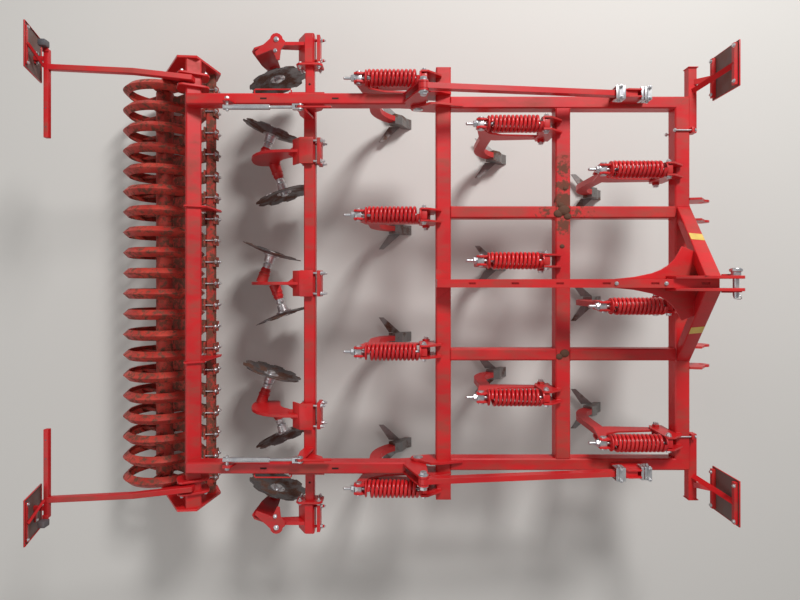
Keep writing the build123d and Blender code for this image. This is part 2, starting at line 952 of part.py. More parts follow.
# Roller: rings on spokes round a core tube, with stub axles in the end plates
ring_ys = [-ring_span / 2 + index * ring_pitch for index in range(ring_count)]
with BuildPart() as roller:
    with BuildSketch(*[upright(axle_x, y, axle_z) for y in ring_ys]) as bands:
        with Locations(Location((0, 0), -90)):
            RegularPolygon(ring_r, ring_sides)
            RegularPolygon(ring_r - ring_thick, ring_sides, mode=Mode.SUBTRACT)
    extrude(bands.sketch, amount=ring_wide / 2, both=True)
    with BuildSketch(*[upright(axle_x, y, axle_z) for y in ring_ys]) as arms:
        with PolarLocations((ring_r - ring_thick / 2) / 2, spokes, start_angle=90):
            Rectangle(ring_r - ring_thick / 2, spoke_wide)
    extrude(arms.sketch, amount=spoke_thick / 2, both=True)
    with BuildSketch(upright(axle_x, 0, axle_z)) as core:
        with Locations(Location((0, 0), 180 / core_sides)):
            RegularPolygon(core_r, core_sides, major_radius=False)
    extrude(core.sketch, amount=ring_span / 2, both=True)
    round_pins([(axle_x, 0, axle_z)], 2 * (end_plate_y + end_plate + 20), axle_r)
write(roller.part, "roller")


def panel_face(z):
    """Station of a rear panel's front face at a height."""
    return -rear_reach + panel_thick + rear_panel_lean * (z - rear_panel_z) / panel_size


# Rear lamp and panel arms, their clamp plates on the roller beam, and the panels' braces
lamp_half = lamp_arm_size / 2
with BuildPart() as lamp_arms:
    side_plates(
        mirrored(0, lamp_arm_y),
        lamp_arm_size,
        [
            (roll_beam_x - 75, roll_beam_z + 20),
            (roll_beam_x + 10, roll_beam_z + 72),
            (roll_beam_x - 20, roll_beam_z + 130),
            (lamp_bar_x, lamp_bar_z + lamp_half),
            (lamp_bar_x, lamp_bar_z - lamp_half),
        ],
    )
    side_plates(
        mirrored(0, *lamp_clamp_y),
        14,
        [
            (roll_beam_x - 92, roll_beam_z - 40),
            (roll_beam_x - 92, roll_beam_z + 80),
            (roll_beam_x - 76, roll_beam_z + 96),
            (roll_beam_x + 76, roll_beam_z + 96),
            (roll_beam_x + 92, roll_beam_z + 80),
            (roll_beam_x + 92, roll_beam_z - 40),
        ],
    )
    for side in both_sides:
        low, high = sorted((side * lamp_bar_in, side * lamp_bar_out))
        block(
            lamp_bar_x - lamp_half,
            lamp_bar_x + lamp_half,
            low,
            high,
            lamp_bar_z - lamp_half,
            lamp_bar_z + lamp_half,
        )
        bar_between(
            (lamp_bar_x, side * (lamp_arm_y + 20), lamp_bar_z + 10),
            (panel_face(1255) + 16, side * rear_panel_y, 1255),
            30,
            12,
        )
        low, high = sorted((side * (rear_panel_y - 120), side * (rear_panel_y + 120)))
        with BuildSketch(Plane.XZ.offset(-high)) as rail:
            Polygon(
                (front_x + panel_face(1245), 1245),
                (front_x + panel_face(1270), 1270),
                (front_x + panel_face(1270) + 22, 1270),
                (front_x + panel_face(1245) + 22, 1245),
                align=None,
            )
        extrude(rail.sketch, amount=high - low)
    bar_back = lamp_bar_x - lamp_half
    bar_low = lamp_bar_z - lamp_half
    bar_high = lamp_bar_z + lamp_half
    side_plates(
        mirrored(0, panel_bracket_y),
        panel_bracket,
        [
            (bar_back, bar_low),
            (bar_back, bar_high),
            (panel_face(bar_high), bar_high),
            (panel_face(bar_low), bar_low),
        ],
    )
    with BuildSketch(roll_plane) as beam_room:
        Rectangle(roll_beam_size, roll_beam_size)
    extrude(beam_room.sketch, amount=end_plate_y, both=True, mode=Mode.SUBTRACT)
write(lamp_arms.part, "lamp_arms")

with BuildPart() as rear_panels:
    side_plates(
        mirrored(0, rear_panel_y),
        panel_size,
        [
            (-rear_reach, rear_panel_z),
            (-rear_reach + panel_thick, rear_panel_z),
            (-rear_reach + panel_thick + rear_panel_lean, rear_panel_z + panel_size),
            (-rear_reach + rear_panel_lean, rear_panel_z + panel_size),
        ],
    )
write(rear_panels.part, "rear_panels")

# Disc bar hangers under the roller arms, and the lugs for the spindles' rear bolts
arm_side = arm_width / 2
with BuildPart() as disc_hangers:
    side_plates(
        mirrored(0, arm_y - arm_side - hanger_plate / 2, arm_y + arm_side + hanger_plate / 2),
        hanger_plate,
        [
            (disc_pivot_x - 90, arm_z + 30),
            (disc_pivot_x + 150, arm_z + 30),
            (disc_pivot_x + 120, arm_z - 50),
            (disc_pivot_x + 20, disc_pivot_z - 32),
            (disc_pivot_x - 20, disc_pivot_z - 32),
        ],
        holes=[(disc_pivot_x, disc_pivot_z, disc_pivot_r + pin_gap)],
    )
    side_plates(
        mirrored(0, arm_y - arm_side + 6),
        12,
        [
            (spindle_rear_x - 40, arm_z + arm_height / 2),
            (spindle_rear_x + 40, arm_z + arm_height / 2),
            (spindle_rear_x + 25, lever_z + 25),
            (spindle_rear_x - 25, lever_z + 25),
        ],
        holes=[(spindle_rear_x, lever_z, lever_pin_r + pin_gap)],
    )
write(disc_hangers.part, "disc_hangers")

# Pins of the roller frame: link pins, disc bar pivots and the spindles' rear bolts
with BuildPart() as arm_pins:
    cross_bars(
        [(link_pin_x, side * arm_y, link_pin_z) for side in both_sides],
        2 * (cheek_inside + cheek_plate) + 24,
        link_pin_r,
    )
    round_pins(
        [(disc_pivot_x, side * arm_y, disc_pivot_z) for side in both_sides],
        2 * (arm_side + hanger_plate) + 10,
        disc_pivot_r,
    )
    bolt_out = arm_y - arm_side + 24
    bolt_in = lever_y - spindle_r - 8
    cross_bars(
        [(spindle_rear_x, side * (bolt_out + bolt_in) / 2, lever_z) for side in both_sides],
        bolt_out - bolt_in,
        lever_pin_r,
    )
write(arm_pins.part, "arm_pins")


def along(x, y, z):
    """Sketch plane that looks along the machine, from a station forward."""
    return Plane(origin=(front_x + x, y, z), x_dir=(0, 1, 0), z_dir=(1, 0, 0))


# Spindle tubes, held by the rear bolts, open at the front for the rods
with BuildPart() as spindle_tubes:
    for side in both_sides:
        with BuildSketch(along(spindle_rear_x - 26, side * lever_y, lever_z)) as tube:
            RegularPolygon(spindle_r, pin_sides, major_radius=False)
        extrude(tube.sketch, amount=spindle_split_x - spindle_rear_x + 26)
        with BuildSketch(along(spindle_rear_x + 60, side * lever_y, lever_z)) as bore:
            RegularPolygon(spindle_rod_r + slide_gap, pin_sides, major_radius=False)
        extrude(bore.sketch, amount=spindle_split_x - spindle_rear_x, mode=Mode.SUBTRACT)
        with BuildSketch(upright(spindle_rear_x, side * lever_y, lever_z)) as cross_bore:
            RegularPolygon(lever_pin_r + pin_gap, pin_sides, major_radius=False)
        extrude(cross_bore.sketch, amount=30, both=True, mode=Mode.SUBTRACT)
write(spindle_tubes.part, "spindle_tubes")

# Spindle rods with the front clevis round the disc bar's lever
clevis_in = lever_plate / 2 + flat_gap
clevis_out = clevis_in + 8
clevis_mid = (clevis_in + clevis_out) / 2
for side, name in ((1, "spindle_rod_left"), (-1, "spindle_rod_right")):
    with BuildPart() as spindle_rod:
        with BuildSketch(along(spindle_rear_x + 130, side * lever_y, lever_z)) as rod:
            RegularPolygon(spindle_rod_r, pin_sides, major_radius=False)
        extrude(rod.sketch, amount=disc_pivot_x - 45 - (spindle_rear_x + 130))
        with Locations((front_x + disc_pivot_x - 40, side * lever_y, lever_z)):
            Box(20, 2 * clevis_out, 36)
        side_plates(
            [(0, side * lever_y - clevis_mid), (0, side * lever_y + clevis_mid)],
            8,
            [
                (disc_pivot_x - 50, lever_z - 18),
                (disc_pivot_x, lever_z - 18),
                (disc_pivot_x, lever_z + 18),
                (disc_pivot_x - 50, lever_z + 18),
            ],
            noses=[(disc_pivot_x, lever_z, 20)],
            holes=[(disc_pivot_x, lever_z, lever_pin_r + clevis_drift)],
        )
    write(spindle_rod.part, name)

# Disc bar: the tube, its pivot lugs and the levers up to the spindles
with BuildPart() as disc_bar:
    box_tube(
        upright(disc_bar_x, 0, disc_bar_z),
        disc_bar_size,
        disc_bar_size,
        disc_bar_wall,
        2 * disc_bar_half,
    )
    bar_top = disc_bar_z + disc_bar_size / 2
    side_plates(
        mirrored(0, arm_y),
        disc_lug_wide,
        [
            (disc_bar_x - 32, bar_top - 4),
            (disc_bar_x + 30, bar_top - 4),
            (disc_pivot_x + 20, disc_pivot_z),
            (disc_pivot_x - 20, disc_pivot_z),
        ],
        noses=[(disc_pivot_x, disc_pivot_z, 24)],
        holes=[(disc_pivot_x, disc_pivot_z, disc_pivot_r + pin_gap)],
    )
    side_plates(
        mirrored(0, lever_y),
        lever_plate,
        [
            (disc_bar_x - 32, bar_top - 4),
            (disc_bar_x + 32, bar_top - 4),
            (disc_bar_x + 20, bar_top + 90),
            (disc_pivot_x + 20, lever_z),
            (disc_pivot_x - 20, lever_z),
            (disc_pivot_x - 30, bar_top + 90),
        ],
        noses=[(disc_pivot_x, lever_z, 20)],
        holes=[(disc_pivot_x, lever_z, lever_pin_r + pin_gap)],
    )
write(disc_bar.part, "disc_bar")

with BuildPart() as lever_pins:
    cross_bars(
        [(disc_pivot_x, side * lever_y, lever_z) for side in both_sides],
        2 * clevis_out + 12,
        lever_pin_r,
    )
write(lever_pins.part, "lever_pins")

yaw = radians(disc_angle)


def axle_direction(lean_side):
    """Unit vector from a disc towards the arm that carries it.

    lean_side is 1 where the disc stands on the left of its arm.
    """
    return Vector(-sin(yaw), -lean_side * cos(yaw), 0)


def disc_centre(hub_x, hub_y, offset, lean_side):
    """Middle of a disc, out from the point where its axle leaves the arm."""
    return Vector(front_x + hub_x, hub_y, disc_z) - axle_direction(lean_side) * offset


def stub(centre, direction, length):
    """Stub axle and its tapered housing, from near the disc to the arm."""
    with BuildSketch(Plane(centre + direction * (disc_thick + 4), z_dir=direction)) as shaft:
        Circle(stub_r)
    extrude(shaft.sketch, amount=length - disc_thick - 4)
    start = hub_long + disc_thick + 4
    root = Plane(centre + direction * start, z_dir=direction)
    with BuildSketch(root) as nose:
        RegularPolygon(hub_r * 0.8, housing_sides)
    with BuildSketch(root.offset(length - start)) as base:
        RegularPolygon(hub_r, housing_sides)
    loft([nose.sketch.face(), base.sketch.face()], ruled=True)


# Inner disc arms: a shoe behind the bar, a clamp bar in front, the arm and its two hubs
bar_rear = -disc_bar_size / 2
bar_front = disc_bar_size / 2
bar_half = disc_bar_size / 2
with BuildPart() as disc_arms:
    side_plates(
        [(disc_bar_x, y) for y in disc_arm_y],
        2 * shoe_half,
        [
            (bar_rear, disc_bar_z + bar_half + shoe_plate),
            (bar_rear - shoe_long, disc_bar_z + bar_half + shoe_plate),
            (bar_rear - shoe_long, disc_bar_z + bar_half),
            (bar_rear - shoe_plate, disc_bar_z + bar_half),
            (bar_rear - shoe_plate, disc_bar_z - bar_half - shoe_plate),
            (bar_rear, disc_bar_z - bar_half - shoe_plate),
        ],
    )
    side_plates(
        [(0, y) for y in disc_arm_y],
        disc_arm_plate,
        [
            (disc_bar_x + bar_rear - 2, disc_bar_z + bar_half + 4),
            (disc_bar_x + bar_rear - 110, disc_bar_z + bar_half + 2),
            (rear_hub_x - 10, disc_z + 110),
            (rear_hub_x - 46, disc_z + 20),
            (rear_hub_x - 30, disc_z - 44),
            (front_hub_x + 50, disc_z - 44),
            (front_hub_x + 60, disc_z + 50),
            (disc_bar_x + bar_rear - 90, disc_bar_z - 90),
            (disc_bar_x + bar_rear - 2, disc_bar_z - 60),
        ],
    )
    clamp_x = disc_bar_x + bar_front + 15
    for y in disc_arm_y:
        block(
            clamp_x,
            clamp_x + clamp_bar,
            y - shoe_half,
            y + shoe_half,
            disc_bar_z - bar_half - 20,
            disc_bar_z + bar_half + 20,
        )
    for height in (disc_bar_z + bar_half + 10, disc_bar_z - bar_half - 10):
        with BuildSketch(*[
            along(disc_bar_x + bar_rear - 6, y + offset * clamp_bolt_y, height)
            for y in disc_arm_y
            for offset in both_sides
        ]) as bolts:
            Rectangle(2 * clamp_bolt_r, 2 * clamp_bolt_r)
        extrude(bolts.sketch, amount=disc_bar_size + 15 + clamp_bar + 20)
    for y in disc_arm_y:
        for lean_side, hub_x in ((1, rear_hub_x), (-1, front_hub_x)):
            centre = disc_centre(hub_x, y, disc_offset, lean_side)
            stub(centre, axle_direction(lean_side), disc_offset)
write(disc_arms.part, "disc_arms")


def notched_disc(centre, direction):
    """Notched disc with its hub, whose bore runs on the stub axle."""
    rim = []
    for index in range(disc_notches):
        middle = 2 * pi * index / disc_notches
        for step, radius in (
            (-notch_wide / 2, disc_r),
            (-notch_wide / 5, disc_r - notch_deep),
            (notch_wide / 5, disc_r - notch_deep),
            (notch_wide / 2, disc_r),
        ):
            rim.append((
                radius * cos(middle + step / disc_r),
                radius * sin(middle + step / disc_r),
            ))
    face = Plane(centre, z_dir=direction)
    with BuildSketch(face) as plate:
        Polygon(*rim, align=None)
    extrude(plate.sketch, amount=disc_thick)
    with BuildSketch(face) as boss:
        RegularPolygon(hub_r, housing_sides)
    extrude(boss.sketch, amount=disc_thick + hub_long)
    with BuildSketch(face.offset(disc_thick)) as bore:
        RegularPolygon(stub_r + pin_gap, pin_sides, major_radius=False)
    extrude(bore.sketch, amount=hub_long + 10, mode=Mode.SUBTRACT)


number = 0
for y in disc_arm_y:
    for lean_side, hub_x in ((1, rear_hub_x), (-1, front_hub_x)):
        number += 1
        with BuildPart() as disc:
            centre = disc_centre(hub_x, y, disc_offset, lean_side)
            notched_disc(centre, axle_direction(lean_side))
        write(disc.part, f"disc_{number}")

# Sliding outer discs: a tube inside the disc bar with flange, housing and clamp bar,
# the arm back to the angle plate, and the leg that stands in line with the disc
for side, name in ((1, "outer_slide_left"), (-1, "outer_slide_right")):
    lean_side = -side
    direction = axle_direction(lean_side)
    centre = Vector(front_x + outer_disc_x, side * outer_disc_y, disc_z)
    with BuildPart() as outer_slide:
        middle = side * (slide_in + slide_out) / 2
        box_tube(
            upright(disc_bar_x, middle, disc_bar_z),
            slide_tube,
            slide_tube,
            slide_wall,
            slide_out - slide_in,
        )
        side_plates(
            [(disc_bar_x, side * flange_y)],
            flange_plate,
            [
                (-92, disc_bar_z - 40),
                (-92, disc_bar_z + 40),
                (-68, disc_bar_z + 64),
                (68, disc_bar_z + 64),
                (92, disc_bar_z + 40),
                (92, disc_bar_z - 40),
                (68, disc_bar_z - 64),
                (-68, disc_bar_z - 64),
            ],
        )
        side_plates(
            [(disc_bar_x, side * (housing_in + housing_out) / 2)],
            housing_out - housing_in,
            [
                (-30, disc_bar_z + 50),
                (24, disc_bar_z + 50),
                (34, disc_bar_z - 50),
                (-92, disc_bar_z - 50),
            ],
        )
        low, high = sorted((side * (housing_in + 8), side * (housing_out - 6)))
        block(disc_bar_x + 52, disc_bar_x + 74, low, high, disc_bar_z - 40, disc_bar_z + 40)
        with BuildSketch(*[
            along(disc_bar_x, side * bolt_y, disc_bar_z)
            for bolt_y in (housing_in + 30, housing_out - 30)
        ]) as bolts:
            RegularPolygon(clamp_bolt_r, head_sides, major_radius=False)
        extrude(bolts.sketch, amount=100)
        arm_rear = angle_bolt_x - 20
        side_plates(
            [(0, side * slide_arm_y)],
            slide_arm_plate,
            [
                (disc_bar_x - 34, disc_bar_z + 40),
                (disc_bar_x - 100, disc_bar_z + 38),
                (arm_rear, disc_bar_z + 38),
                (arm_rear, disc_bar_z - 30),
                (disc_bar_x - 70, disc_bar_z - 48),
            ],
        )
        flat_plate(
            [
                (angle_bolt_x + 60, side * (slide_arm_y - 12)),
                (angle_bolt_x + 60, side * (slide_arm_y + 12)),
                (angle_bolt_x, side * (angle_bolt_y + angle_lug_r)),
                (angle_bolt_x - 150, side * 1622),
                (angle_bolt_x - 140, side * 1596),
                (angle_bolt_x - 30, side * 1640),
                (angle_bolt_x + 4, side * 1566),
                (angle_bolt_x + 22, side * 1572),
                (angle_bolt_x + 30, side * 1640),
            ],
            disc_bar_z + 38,
            angle_plate,
            noses=[(angle_bolt_x, side * angle_bolt_y, angle_lug_r)],
        )
        leg_plane = Plane(
            origin=centre + direction * (outer_leg_offset + outer_leg_plate / 2),
            x_dir=(cos(yaw), side * sin(yaw), 0),
            z_dir=(sin(yaw) * side, -cos(yaw), 0),
        )
        leg_top = disc_bar_z + 38 - disc_z
        with BuildSketch(leg_plane) as leg:
            Polygon(
                (-44, -44),
                (44, -44),
                (58, 120),
                (64, leg_top),
                (-50, leg_top),
                (-78, leg_top - 40),
                (-70, 120),
                align=None,
            )
        extrude(leg.sketch, amount=outer_leg_plate / 2, both=True)
        stub(centre, direction, outer_leg_offset)
    write(outer_slide.part, name)
    with BuildPart() as disc:
        notched_disc(centre, direction)
    write(disc.part, name.replace("slide", "disc"))
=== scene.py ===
import json
from math import atan2, cos, pi, radians, sin, tan

import bmesh
import bpy
from mathutils import Matrix, Vector


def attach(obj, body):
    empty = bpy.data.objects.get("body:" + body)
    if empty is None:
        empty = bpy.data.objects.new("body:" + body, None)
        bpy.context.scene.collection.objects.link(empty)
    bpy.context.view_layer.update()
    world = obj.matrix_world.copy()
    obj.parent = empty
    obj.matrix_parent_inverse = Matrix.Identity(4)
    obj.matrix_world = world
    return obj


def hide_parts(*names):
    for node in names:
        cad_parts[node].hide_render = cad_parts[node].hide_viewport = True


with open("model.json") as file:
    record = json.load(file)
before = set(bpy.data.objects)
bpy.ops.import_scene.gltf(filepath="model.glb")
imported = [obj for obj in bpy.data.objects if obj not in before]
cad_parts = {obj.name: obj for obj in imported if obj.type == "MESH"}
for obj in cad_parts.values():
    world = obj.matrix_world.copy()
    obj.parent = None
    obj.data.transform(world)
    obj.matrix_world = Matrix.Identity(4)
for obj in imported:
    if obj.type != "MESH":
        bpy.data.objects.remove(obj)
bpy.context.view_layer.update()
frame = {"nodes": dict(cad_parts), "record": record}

# Every place is in metres. Stations run forward from the front beam's centre line.
FRONT_X = 2.020
ROW_PITCH = 0.805
BEAM_TOP = 0.950
BOTH = (1, -1)

# The roller arms and the depth links run on one line on each side
ARM_Y = 1.235
# Side faces of the beams where a long beam meets them
BEAM_FACES = (-0.050, -0.755, -0.855, -1.560)

TINES = [
    (-row * ROW_PITCH, y)
    for row, y in (
        (2, 1.350), (2, 0.450), (2, -0.450), (2, -1.350),
        (1, 1.050), (1, 0.150), (1, -0.750),
        (0, 0.750), (0, -0.150), (0, -1.050),
    )
]


def at(x, y, z):
    """A place from its station, its place across and its height."""
    return Vector((FRONT_X + x, y, z))


# Finishes

class Signal:
    """What one node gives. Arithmetic on it adds Math nodes."""

    def __init__(self, finish, socket):
        self.finish = finish
        self.socket = socket

    def maths(self, operation, first, second=0.0, clamp=False):
        return self.finish.node(
            "ShaderNodeMath",
            {"operation": operation, "use_clamp": clamp},
            {0: first, 1: second},
        )

    def __add__(self, other):
        return self.maths("ADD", self, other)

    def __radd__(self, other):
        return self.maths("ADD", other, self)

    def __sub__(self, other):
        return self.maths("SUBTRACT", self, other)

    def __rsub__(self, other):
        return self.maths("SUBTRACT", other, self)

    def __mul__(self, other):
        return self.maths("MULTIPLY", self, other)

    def __rmul__(self, other):
        return self.maths("MULTIPLY", other, self)

    def held(self):
        """The same number, kept between 0 and 1."""
        return self.maths("ADD", self, 0.0, clamp=True)

    def over(self, low, high):
        """0 below low, 1 above high, smooth between them."""
        return self.finish.node(
            "ShaderNodeMapRange",
            {"interpolation_type": "SMOOTHSTEP"},
            {"Value": self, "From Min": low, "From Max": high},
        )


class Finish:
    """A material under construction."""

    def __init__(self, name):
        self.material = bpy.data.materials.new(name)
        self.material.use_nodes = True
        self.tree = self.material.node_tree
        self.tree.nodes.clear()
        self.place = self.node("ShaderNodeTexCoord", out="Object")

    def node(self, kind, settings=(), inputs=(), out=0):
        node = self.tree.nodes.new(kind)
        for name, value in dict(settings).items():
            setattr(node, name, value)
        for name, value in dict(inputs).items():
            if isinstance(value, Signal):
                self.tree.links.new(value.socket, node.inputs[name])
            else:
                node.inputs[name].default_value = value
        return Signal(self, node.outputs[out])

    def noise(self, scale, detail=4.0, rough=0.55, stretch=(1, 1, 1)):
        """Cloudy pattern, scale in patches per metre."""
        place = self.node("ShaderNodeMapping", {}, {"Vector": self.place, "Scale": stretch})
        return self.node(
            "ShaderNodeTexNoise",
            {},
            {"Vector": place, "Scale": scale, "Detail": detail, "Roughness": rough},
        )

    def blend(self, share, first, second):
        """Colour that goes from first to second as share goes from 0 to 1."""
        return self.node(
            "ShaderNodeMix",
            {"data_type": "RGBA"},
            {0: share, 6: first, 7: second},
            out=2,
        )

    def part_of(self, vector, axis):
        """One coordinate of a vector."""
        return self.node("ShaderNodeSeparateXYZ", {}, {0: vector}, out=axis)

    def facing_up(self):
        """1 on faces that look up, 0 on sides and undersides."""
        normal = self.node("ShaderNodeNewGeometry", out="Normal")
        return self.part_of(normal, 2).over(0.25, 0.85)

    def edges(self, width):
        """1 along sharp edges."""
        normal = self.node("ShaderNodeNewGeometry", out="Normal")
        rounded = self.node("ShaderNodeBevel", {"samples": 4}, {"Radius": width})
        likeness = self.node(
            "ShaderNodeVectorMath",
            {"operation": "DOT_PRODUCT"},
            {0: normal, 1: rounded},
            out="Value",
        )
        return (1.0 - likeness).over(0.01, 0.12)

    def near(self, spot, reach):
        """1 at a place on the object, fading out over its reach."""
        distance = self.node(
            "ShaderNodeVectorMath",
            {"operation": "DISTANCE"},
            {0: self.place, 1: spot},
            out="Value",
        )
        return 1.0 - distance.over(reach * 0.3, reach)

    def finish(
        self, color, roughness, metallic=0.0, coat=0.0, bump=None, soft_edge=0.0025, depth=0.001
    ):
        """Closes the material; bump is a height signal and depth what it amounts to in metres."""
        inputs = {
            "Base Color": color,
            "Roughness": roughness,
            "Metallic": metallic,
            "Specular IOR Level": 0.4,
        }
        if coat:
            inputs["Coat Weight"] = coat
            inputs["Coat Roughness"] = 0.12
        normal = self.node("ShaderNodeBevel", {"samples": 4}, {"Radius": soft_edge})
        if bump is not None:
            normal = self.node(
                "ShaderNodeBump",
                {},
                {"Height": bump, "Distance": depth, "Strength": 1.0, "Normal": normal},
            )
        inputs["Normal"] = normal
        surface = self.node("ShaderNodeBsdfPrincipled", {}, inputs)
        output = self.tree.nodes.new("ShaderNodeOutputMaterial")
        self.tree.links.new(surface.socket, output.inputs["Surface"])
        return self.material


SOIL = (0.105, 0.045, 0.026, 1)
DUST = (0.190, 0.070, 0.045, 1)
DARK_RED = (0.240, 0.008, 0.010, 1)
RED = (0.500, 0.008, 0.012, 1)
BRIGHT_RED = (0.620, 0.014, 0.016, 1)


def red_paint(name, dusty, coat=0.12, rough=0.36, soiled=()):
    """Gloss red with dust on what lies flat, bare edges, and soil round the soiled spots."""
    f = Finish(name)
    broad = f.noise(2.3, 3.0)
    fine = f.noise(38.0, 6.0, 0.65)
    streak = f.noise(9.0, 5.0, 0.6, (0.35, 1.0, 1.0))
    paint = f.blend(broad.over(0.35, 0.7), RED, BRIGHT_RED)
    paint = f.blend(fine.over(0.58, 0.80) * 0.35, paint, DARK_RED)
    lying = f.facing_up() * streak.over(0.38, 0.72) * dusty
    film = (lying + fine.over(0.62, 0.78) * 0.25 * dusty).held()
    film = film * (1.0 - 0.85 * f.edges(0.012))
    color = f.blend(film, paint, DUST)
    if soiled:
        earth = 0.0
        for spot, reach in soiled:
            earth = earth + f.near(spot, reach)
        earth = (earth * 0.62 + fine * 1.5).over(1.36, 1.62)
        film = (film + earth).held()
        color = f.blend(earth * 0.9, color, SOIL)
    scratch = f.edges(0.0016) * fine.over(0.52, 0.66)
    color = f.blend(scratch * 0.55, color, (0.16, 0.05, 0.035, 1))
    return f.finish(
        color,
        rough + film * 0.45 + fine * 0.10,
        coat=(coat * (1.0 - film)).held(),
        bump=film * 0.6 + fine * 0.25,
        depth=0.0008,
    )


def worn_paint(name, bare):
    """Red that the soil has rubbed and covered; less of it is left as bare falls."""
    f = Finish(name)
    broad = f.noise(7.0, 4.0)
    fine = f.noise(60.0, 6.0, 0.7)
    clods = f.noise(24.0, 8.0, 0.7)
    paint = f.blend(broad.over(0.35, 0.7), (0.42, 0.030, 0.022, 1), (0.55, 0.060, 0.040, 1))
    soil = f.blend(fine, SOIL, DUST)
    worn = clods.over(bare, bare + 0.16)
    color = f.blend(worn, paint, soil)
    return f.finish(color, 0.48 + worn * 0.4, bump=clods * 0.7 + fine * 0.3, depth=0.002)


def zinc(name, dusty=0.25):
    """Zinc plate with a film of dust on top."""
    f = Finish(name)
    broad = f.noise(14.0, 3.0)
    fine = f.noise(120.0, 5.0, 0.6)
    metal = f.blend(broad.over(0.3, 0.7), (0.52, 0.53, 0.56, 1), (0.70, 0.70, 0.70, 1))
    film = (f.facing_up() * fine.over(0.45, 0.70) * dusty).held()
    return f.finish(
        f.blend(film, metal, DUST),
        0.26 + fine * 0.16 + film * 0.4,
        metallic=0.92 - film * 0.8,
        bump=fine,
        soft_edge=0.0012,
        depth=0.0003,
    )


def soiled_steel(name, bright, soil_share):
    """Bare steel under patches of soil, which grow as soil_share falls."""
    f = Finish(name)
    broad = f.noise(9.0, 5.0)
    fine = f.noise(90.0, 6.0, 0.7)
    soil = broad.over(soil_share, soil_share + 0.18) * fine.over(0.2, 0.5)
    steel = f.blend(fine, bright, (bright[0] * 0.55, bright[1] * 0.5, bright[2] * 0.5, 1))
    return f.finish(
        f.blend(soil, steel, SOIL),
        0.30 + fine * 0.15 + soil * 0.45,
        metallic=0.85 - soil * 0.8,
        bump=fine * 0.4 + soil * 0.6,
        depth=0.0012,
    )


def plain_coat(name, color, rough, dusty=0.3):
    """One colour with a fine grain and a little dust."""
    f = Finish(name)
    fine = f.noise(160.0, 4.0, 0.6)
    broad = f.noise(8.0, 5.0)
    film = (broad.over(0.40, 0.70) * dusty * (0.5 + fine)).held()
    return f.finish(
        f.blend(film, color, DUST),
        rough + film * 0.3 + fine * 0.06,
        bump=fine,
        soft_edge=0.001,
        depth=0.0003,
    )


# Soil on the middle beam: a place on its top and how far it spreads
SOILED_SPOTS = [
    (tuple(at(x, y, BEAM_TOP)), reach)
    for x, y, reach in (
        (-ROW_PITCH, 0.480, 0.16), (-ROW_PITCH, 0.600, 0.12), (-ROW_PITCH, 0.715, 0.12),
        (-ROW_PITCH, 0.830, 0.11), (-ROW_PITCH, 0.350, 0.10), (-0.960, 0.480, 0.10),
        (-0.640, 0.480, 0.12), (-ROW_PITCH, -0.480, 0.10),
    )
]
FRAME_RED = red_paint("frame_red", dusty=0.55, soiled=SOILED_SPOTS)
ROLLER_FRAME_RED = red_paint("roller_frame_red", dusty=0.60)
SPRING_RED = red_paint("spring_red", dusty=0.15, coat=0.25, rough=0.26)
LINK_RED = red_paint("link_red", dusty=0.30, coat=0.20, rough=0.30)
TOOL_RED = red_paint("tool_red", dusty=0.45, rough=0.42)
RING_RED = worn_paint("ring_red", 0.46)
SCRAPER_RED = worn_paint("scraper_red", 0.40)
ZINC = zinc("zinc")
DULL_ZINC = zinc("dull_zinc", 0.6)
DISC_STEEL = soiled_steel("disc_steel", (0.20, 0.19, 0.19, 1), 0.42)
POINT_STEEL = soiled_steel("point_steel", (0.34, 0.33, 0.32, 1), 0.50)
PANEL_BACK = plain_coat("panel_back", (0.16, 0.105, 0.095, 1), 0.55, dusty=0.5)
LAMP_GREY = plain_coat("lamp_grey", (0.10, 0.10, 0.11, 1), 0.35)
STICKER = plain_coat("sticker_yellow", (0.74, 0.53, 0.12, 1), 0.40, dusty=0.25)
CLOD_SOIL = soiled_steel("clod_soil", (0.115, 0.050, 0.028, 1), 0.0)
# Near-black flat colour: painted shade laid on thin patches where holes and slots are
SHADOW = plain_coat("painted_hole_shade", (0.020, 0.008, 0.008, 1), 0.90)

NODE_FINISH = {
    "depth_link_left": LINK_RED,
    "depth_link_right": LINK_RED,
    "tine_arms": TOOL_RED,
    "tine_shanks": TOOL_RED,
    "tine_points": POINT_STEEL,
    "scrapers": SCRAPER_RED,
    "scraper_bar": SCRAPER_RED,
}
SLOT_FINISH = {
    "red_paint": FRAME_RED,
    "worn_red": RING_RED,
    "zinc": ZINC,
    "disc_steel": DISC_STEEL,
    "point_steel": POINT_STEEL,
    "panel_paint": PANEL_BACK,
}
SLOT_OF = {row["node"]: row["material_slot"] for row in frame["record"]["subparts"]}
BODY_OF = {
    node: body
    for body, nodes in frame["record"]["behaviour"]["bodies"].items()
    for node in nodes
}
for node, obj in frame["nodes"].items():
    finish = NODE_FINISH.get(node)
    if finish is None and SLOT_OF[node] == "red_paint" and BODY_OF[node] != "main_frame":
        finish = ROLLER_FRAME_RED
    if finish is None:
        finish = SLOT_FINISH[SLOT_OF[node]]
    obj.data.materials.clear()
    obj.data.materials.append(finish)


# Shapes

def pointing(place, along):
    """Matrix that turns +Z along a direction, at a place."""
    turn = Vector(along).normalized().to_track_quat("Z", "Y")
    return Matrix.Translation(place) @ turn.to_matrix().to_4x4()


def rod(bm, start, end, radius, sides=16, tip=None):
    """Round bar from start to end; tip is its radius at the end."""
    run = Vector(end) - Vector(start)
    bmesh.ops.create_cone(
        bm,
        cap_ends=True,
        segments=sides,
        radius1=radius,
        radius2=radius if tip is None else tip,
        depth=run.length,
        matrix=pointing((Vector(start) + Vector(end)) / 2, run),
    )


